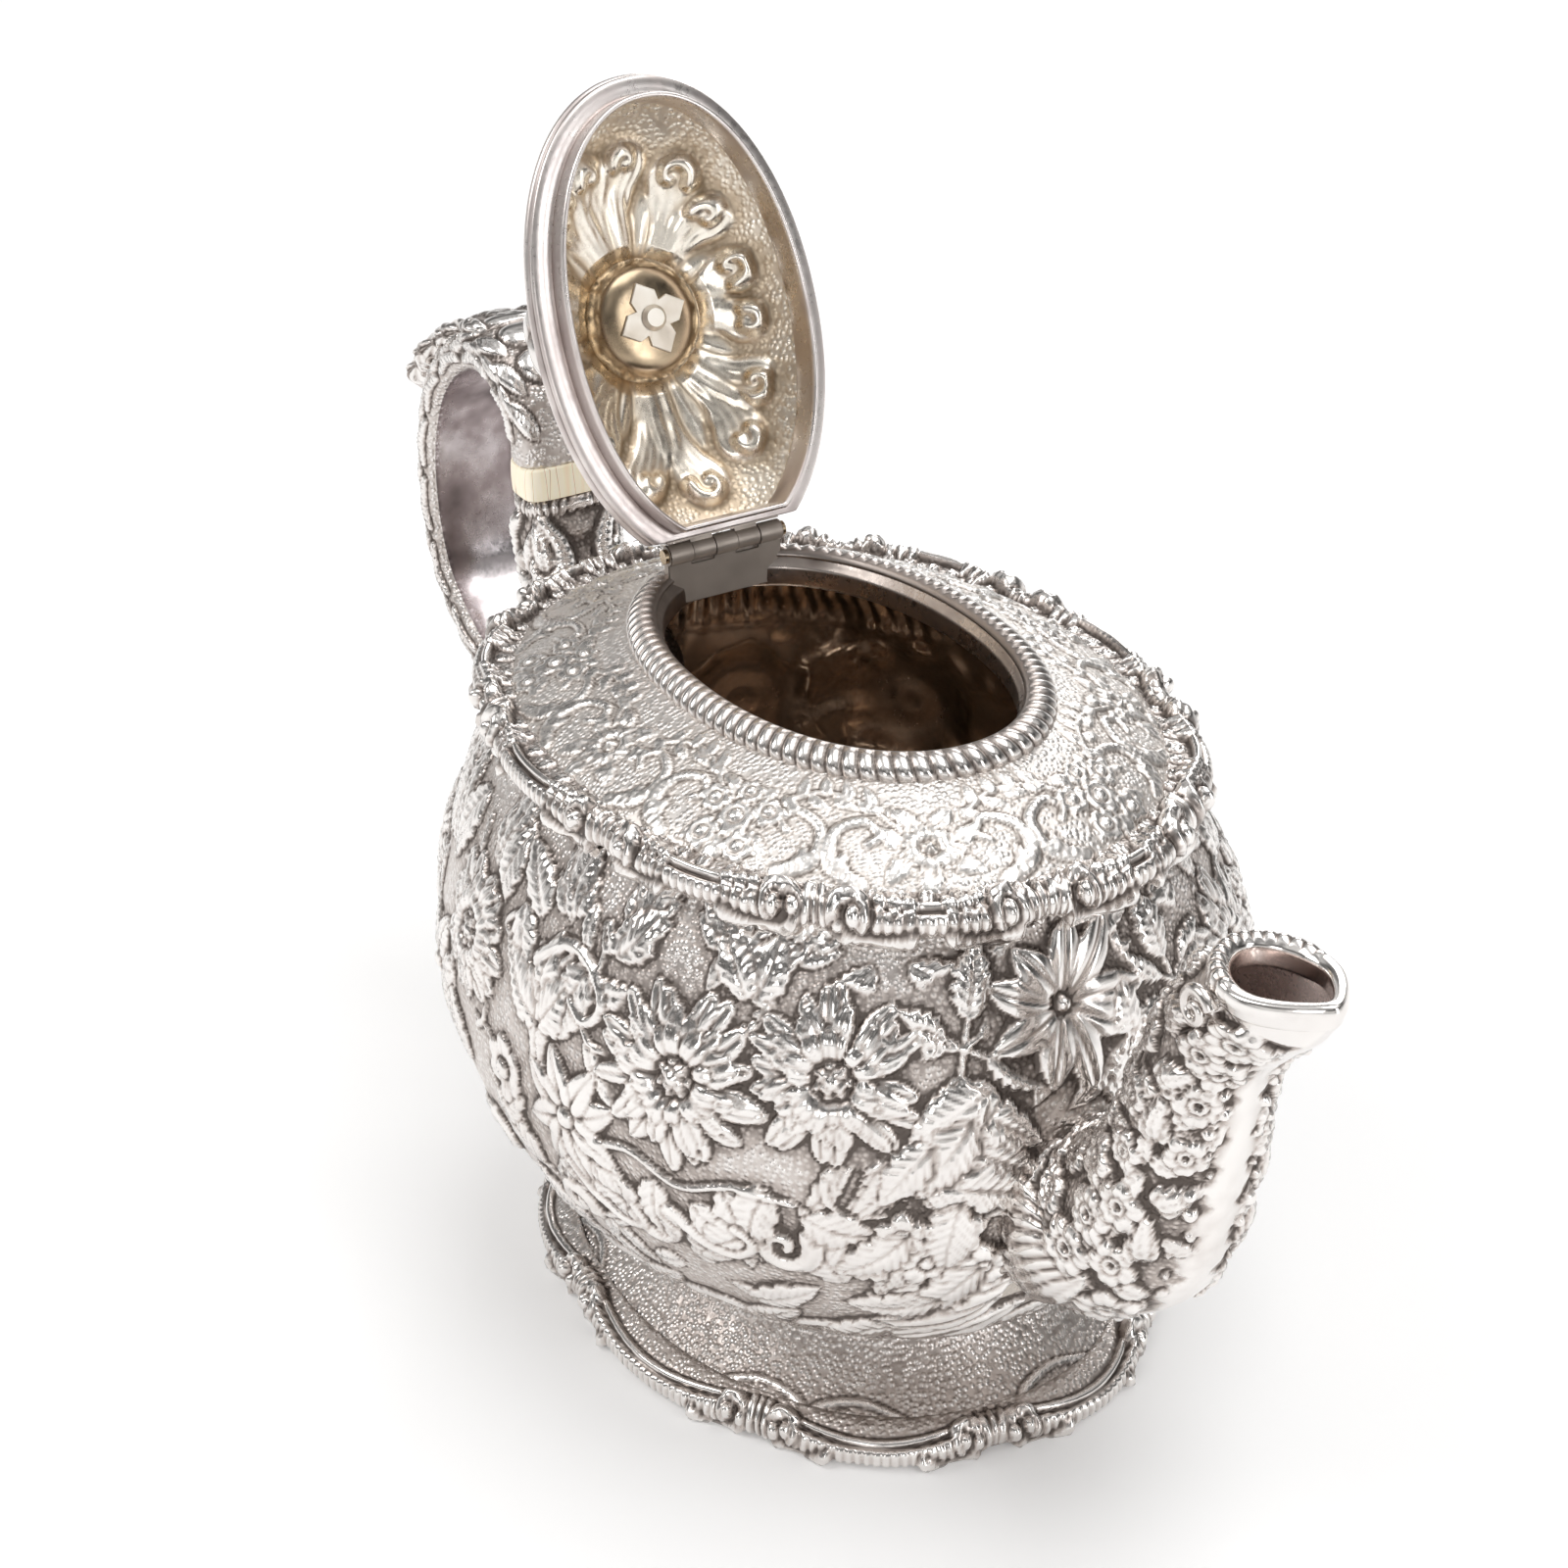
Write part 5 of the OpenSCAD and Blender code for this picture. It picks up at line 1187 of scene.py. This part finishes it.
kI = np.clip(np.arange(MI) / (8.0 / K), 0, 1)[:, None] * np.clip((MI - np.arange(MI)) / (10.0 / K), 0, 1)[:, None]
hi = sample(hI, GI[..., 0], GI[..., 1]) * kI * np.clip((np.hypot(GI[..., 0] - HUB, GI[..., 1]) - 9.4) / 4, 0, 1)
nI = normals2(GI)
inD = GI - nI * (0.85 * hi - 0.2)[..., None]
mesh("lid_dome_chased", [(opened(outD), [quads(MD, WD)], {"cav": cavD * fadeD, "gnd": gndD}, 0),
                         (opened(inD), [quads(MI, WI)[:, ::-1]], {"cav": sample(cavI, GI[..., 0], GI[..., 1]), "gnd": sample(gndI, GI[..., 0], GI[..., 1]) * 0.5}, 1)],
     [CHASED, GILT], "lid", "lid_dome")


def lid_band(name, node, P, M, N, mat, cav=None, corner=True):
    """A closed section (half length, half width, z, least x) run round the lid's oval."""
    C, L = closed_curve(P, M)
    t, _ = arc_t(40, 24.6, N)
    x = np.maximum(C[:, :1] * se(np.cos(t))[None] + MX, C[:, 3:4])
    G = np.stack([x, C[:, 1:2] * se(np.sin(t))[None], C[:, 2:3] + 0 * x], -1)
    at = 0.05 + 0.3 * value_noise((M, N), 14, 7) ** 2
    if cav is not None:
        at = at + cav(C)[:, None]
    return mesh(name, [(opened(G), [quads(M, N, wv=True)], {"cav": np.clip(at, 0, 1)}, 0)], mat, "lid", node)


groove = lambda C: 0.45 * np.exp(-((C[:, 2] - 124.0) / 0.22) ** 2) + 0.35 * np.exp(-((C[:, 2] - 126.3) / 0.2) ** 2)
lid_band("lid_moulding", "lid_rim", [[38.0, 22.35, 122.9, -32.0], [39.4, 24.0, 122.7, -32.6], [40.6, 25.2, 122.8, CUT], [41.3, 25.9, 123.1, CUT], [41.5, 26.1, 123.7, CUT], [41.35, 25.95, 124.0, CUT], [41.85, 26.45, 124.5, CUT], [41.95, 26.55, 125.2, CUT],
                                     [41.7, 26.3, 125.9, CUT], [41.2, 25.8, 126.3, CUT], [41.1, 25.7, 126.9, CUT], [40.2, 24.8, 127.2, CUT], [38.9, 23.5, 126.6, -32], [37.9, 22.3, 124.9, -31.9]],
         90 // K, 640 // K, RIMMED, groove)
lid_band("lid_inner_flange", "lid_flange", [[38.1, 22.4, 119, -32], [38.1, 22.4, 121.5, -32], [38.1, 22.4, 124.4, -32], [38.6, 22.9, 125.6, -32.2], [38.2, 22.5, 125.9, -31.8], [37.3, 21.6, 125.6, -31.2], [37, 21.3, 124.4, -31], [37, 21.3, 121.5, -31], [37.1, 21.4, 119, -31], [37.6, 21.9, 118.4, -31.5]],
         64 // K, 640 // K, RIMMED)


def lathe(name, node, prof, N, M, mats, shape=None, closed=True, cavf=None):
    C, L = closed_curve(prof, M) if closed else smooth([(p[0], 0, p[1]) for p in prof], M)
    if not closed:
        C = C[:, [0, 2]]
    t = np.linspace(0, TAU, N, endpoint=False)[None]
    r, z = C[:, :1] + 0 * t, C[:, 1:2] + 0 * t
    cav = 0 * r + 0.05
    if shape:
        r, z, cav = shape(r, z, t, C)
    G = np.stack([HUB + r * np.cos(t), r * np.sin(t), z], -1)
    F = [quads(M, N, wv=closed)]
    if not closed:
        F += caps(M, N)
    return mesh(name, [(opened(G), F, {"cav": np.clip(cav, 0, 1)}, 0)], mats, "lid", node)


lathe("cup", "finial_cup", [[2.0, 134.7], [6.0, 134.8], [8.8, 135.7], [10.3, 137.4], [10.8, 139.4], [10.5, 140.9], [9.2, 140.9], [8.6, 139.2], [7.2, 137.6], [5, 136.8], [2.0, 136.6]], 160, 90, BRONZE)


def calyx_shape(r, z, t, C):
    k = np.clip((r - 4.0) / 6.0, 0, 1)
    p = np.abs(np.sin(4 * t))
    return r + k * (1.3 * p ** 1.5 - 1.0) + 0.18 * np.sin(24 * t) * k, z + 0.5 * k * (p - 0.5), 0.55 * (1 - p) ** 2 * k + 0.1 + 0.2 * (np.sin(24 * t) < -0.3) * k


def blossom_shape(r, z, t, C):
    row = np.floor((z - 155.5) / 3.2)
    k = np.clip(np.sin(np.pi * np.clip((z - 155.0) / 15.6, 0, 1)) * 2.0, 0, 1)
    p = np.abs(np.cos(4 * t + row * 0.9))
    f = (z - 155.5) / 3.2 - row
    return r + k * (0.9 * p ** 0.6 - 0.9 + 0.8 * f), z, np.clip(0.7 * (1 - p) ** 2 + 0.6 * np.exp(-(f / 0.14) ** 2), 0, 1) * k


lathe("calyx", "finial_calyx", [[1.9, 142.4], [6.4, 142.4], [7.2, 143.6], [5.4, 145.2], [4.2, 148], [4.6, 151], [6.8, 153.6], [10.2, 155.4], [11.6, 157.4], [10.4, 157.8], [6.4, 156.2], [1.9, 155.4]], 240, 110, CHASED, calyx_shape)
lathe("blossom", "finial_blossom", [[0.3, 155.0], [6.2, 156], [10.2, 157.8], [12, 160.6], [11.6, 164], [9.2, 167.6], [5.6, 169.8], [0.3, 170.5]], 240, 120, CHASED, blossom_shape, closed=False)

# the notched square nut under the lid
NUT_TURN = math.radians(NUTDEG)
pts = []
for k in range(4):
    for (x, y) in [(-4.75, -4.75), (-1.15, -4.75), (0, -3.3), (1.15, -4.75)]:
        a = k * math.pi / 2 + NUT_TURN
        pts.append((x * math.cos(a) - y * math.sin(a), x * math.sin(a) + y * math.cos(a)))
pts = np.array(pts)
rows = [(0.10, 134.1), (0.97, 134.1), (1.0, 134.2), (1.0, 135.6), (0.97, 135.7), (0.10, 135.7)]
fine = np.concatenate([pts + (np.roll(pts, -1, 0) - pts) * f for f in (0, 0.25, 0.5, 0.75)], 1).reshape(-1, 2)
GNt = np.stack([np.concatenate([fine * k + [HUB, 0], np.full((len(fine), 1), z)], 1) for k, z in rows])
mesh("nut", [(opened(GNt), [quads(len(rows), len(fine))[:, ::-1], np.arange(len(fine)), ((len(rows) - 1) * len(fine) + np.arange(len(fine)))[::-1]], {"cav": 0.05 + 0.3 * value_noise(GNt.shape[:2], 3, 2)}, 0)],
     NUTS, "lid", "finial_nut", smooth_shade=False)

# ------------------------------------------------------------------ carried-over parts
for node, mat in {"foot_rest_wire": WORN, "spout_strainer": WORN, "handle_upper_pins": WORN, "handle_lower_pins": WORN, "hinge_pot_leaf": PLATE, "hinge_pin": BRONZE,
                  "hinge_lid_leaf": PLATE, "finial_stud": NUTS}.items():
    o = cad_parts[node]
    o.data.materials.clear()
    o.data.materials.append(mat)
    b = o.modifiers.new("edges", "BEVEL")
    b.width, b.segments, b.limit_method = (0.00025 if "hinge" in node or "nut" in node else 0.00012), 2, "ANGLE"
    b.angle_limit = math.radians(35)
    b.harden_normals = False
    if node == "hinge_pot_leaf":
        e = o.modifiers.new("proud", "DISPLACE")
        e.strength, e.mid_level = 0.00012, 0.0


# ------------------------------------------------------------------ stage, light and camera
def flat(name, size, loc, col, rough=0.6, emit=None):
    me = bpy.data.meshes.new(name)
    s = size / 2
    me.from_pydata([(-s, -s, 0), (s, -s, 0), (s, s, 0), (-s, s, 0)], [], [(0, 1, 2, 3)])
    o = bpy.data.objects.new(name, me)
    o.location = loc
    bpy.context.scene.collection.objects.link(o)
    m = Nodes(name)
    n = m.noise(3, 2)
    m.l(m.mix(m.fit(n, 0.3, 0.7, 0, 1), col, tuple(c * 0.99 for c in col)), m.b.inputs["Base Color"])
    m.b.inputs["Roughness"].default_value = rough
    m.b.inputs["Specular IOR Level"].default_value = 0.1
    if emit:
        m.b.inputs["Emission Color"].default_value = (1, 1, 1, 1)
        m.b.inputs["Emission Strength"].default_value = emit
    me.materials.append(m.m)
    return o


flat("floor", 12.0, (0, 0, -0.0003), (0.93, 0.93, 0.93), 0.9, emit=GLOW)

w = bpy.data.worlds.new("studio")
bpy.context.scene.world = w
w.use_nodes = True
wt = w.node_tree
wt.nodes.clear()
wo, bg = wt.nodes.new("ShaderNodeOutputWorld"), wt.nodes.new("ShaderNodeBackground")
wt.links.new(bg.outputs[0], wo.inputs[0])
wc = wt.nodes.new("ShaderNodeTexCoord")
sep = wt.nodes.new("ShaderNodeSeparateXYZ")
wt.links.new(wc.outputs["Generated"], sep.inputs[0])
ramp = wt.nodes.new("ShaderNodeValToRGB")
ramp.color_ramp.elements[0].position, ramp.color_ramp.elements[0].color = 0.0, (1, 1, 1, 1)
ramp.color_ramp.elements[1].position, ramp.color_ramp.elements[1].color = 1.0, (0.95, 0.95, 0.95, 1)
for p, v in ((0.10, 1.0), (0.24, 0.42), (0.44, 0.16), (0.56, 0.2), (0.68, 0.7)):
    e = ramp.color_ramp.elements.new(p)
    e.color = (v, v * 0.985, v * 0.97, 1)
wt.links.new(sep.outputs["Z"], ramp.inputs[0])
wn = wt.nodes.new("ShaderNodeTexNoise")
wn.inputs["Scale"].default_value = 2.4
wn.inputs["Detail"].default_value = 2
wt.links.new(wc.outputs["Generated"], wn.inputs["Vector"])
mr = wt.nodes.new("ShaderNodeMapRange")
for i, k in enumerate((0.36, 0.64, 0.3, 1.35)):
    mr.inputs[i + 1].default_value = k
wt.links.new(wn.outputs[0], mr.inputs[0])
mul = wt.nodes.new("ShaderNodeMath")
mul.operation = "MULTIPLY"
mul.inputs[1].default_value = WORLD
wt.links.new(mr.outputs[0], mul.inputs[0])
wt.links.new(ramp.outputs[0], bg.inputs[0])
wt.links.new(mul.outputs[0], bg.inputs[1])


def area(name, loc, target, size, power, col=(1, 1, 1)):
    l = bpy.data.lights.new(name, "AREA")
    l.shape, l.size, l.size_y, l.energy, l.color = "RECTANGLE", size[0], size[1], power, col
    o = bpy.data.objects.new(name, l)
    o.location = loc
    o.rotation_mode = "QUATERNION"
    o.rotation_quaternion = (Vector(target) - Vector(loc)).to_track_quat("-Z", "Y")
    bpy.context.scene.collection.objects.link(o)
    return o


AIM = (-0.01, 0, 0.07)
area("key_left", (-0.55, -1.05, 1.15), AIM, (0.7, 0.9), KEY, (1, 0.99, 0.98))
area("top_soft", (0.15, 0.25, 1.6), AIM, (1.3, 1.0), TOP)
area("right_strip", (1.35, 0.35, 0.55), AIM, (0.35, 1.1), SIDE, (0.98, 0.99, 1))
area("front_fill", (0.9, -1.1, 0.5), AIM, (0.5, 0.5), FILL)
area("back_rim", (-0.9, 0.9, 0.8), AIM, (0.6, 0.6), BACK)

T = Vector((-0.01648, -0.00008, 0.08744))
C = Vector((0.42963, -0.24029, 0.35684))
fwd = (T - C).normalized()
r = fwd.cross(Vector((0, 0, 1))).normalized()
u = r.cross(fwd)
ro = math.radians(-1.9)
r2, u2 = r * math.cos(ro) + u * math.sin(ro), -r * math.sin(ro) + u * math.cos(ro)
cam = bpy.data.cameras.new("camera")
cam.lens, cam.sensor_width, cam.sensor_fit = 76.3, 36.0, "AUTO"
cam.clip_start, cam.clip_end = 0.01, 40
co = bpy.data.objects.new("camera", cam)
bpy.context.scene.collection.objects.link(co)
M4 = Matrix((r2, u2, -fwd)).transposed().to_4x4()
M4.translation = C
co.matrix_world = M4
bpy.context.scene.camera = co
bpy.context.scene.view_settings.view_transform = "Standard"
bpy.context.scene.view_settings.exposure = EXPO
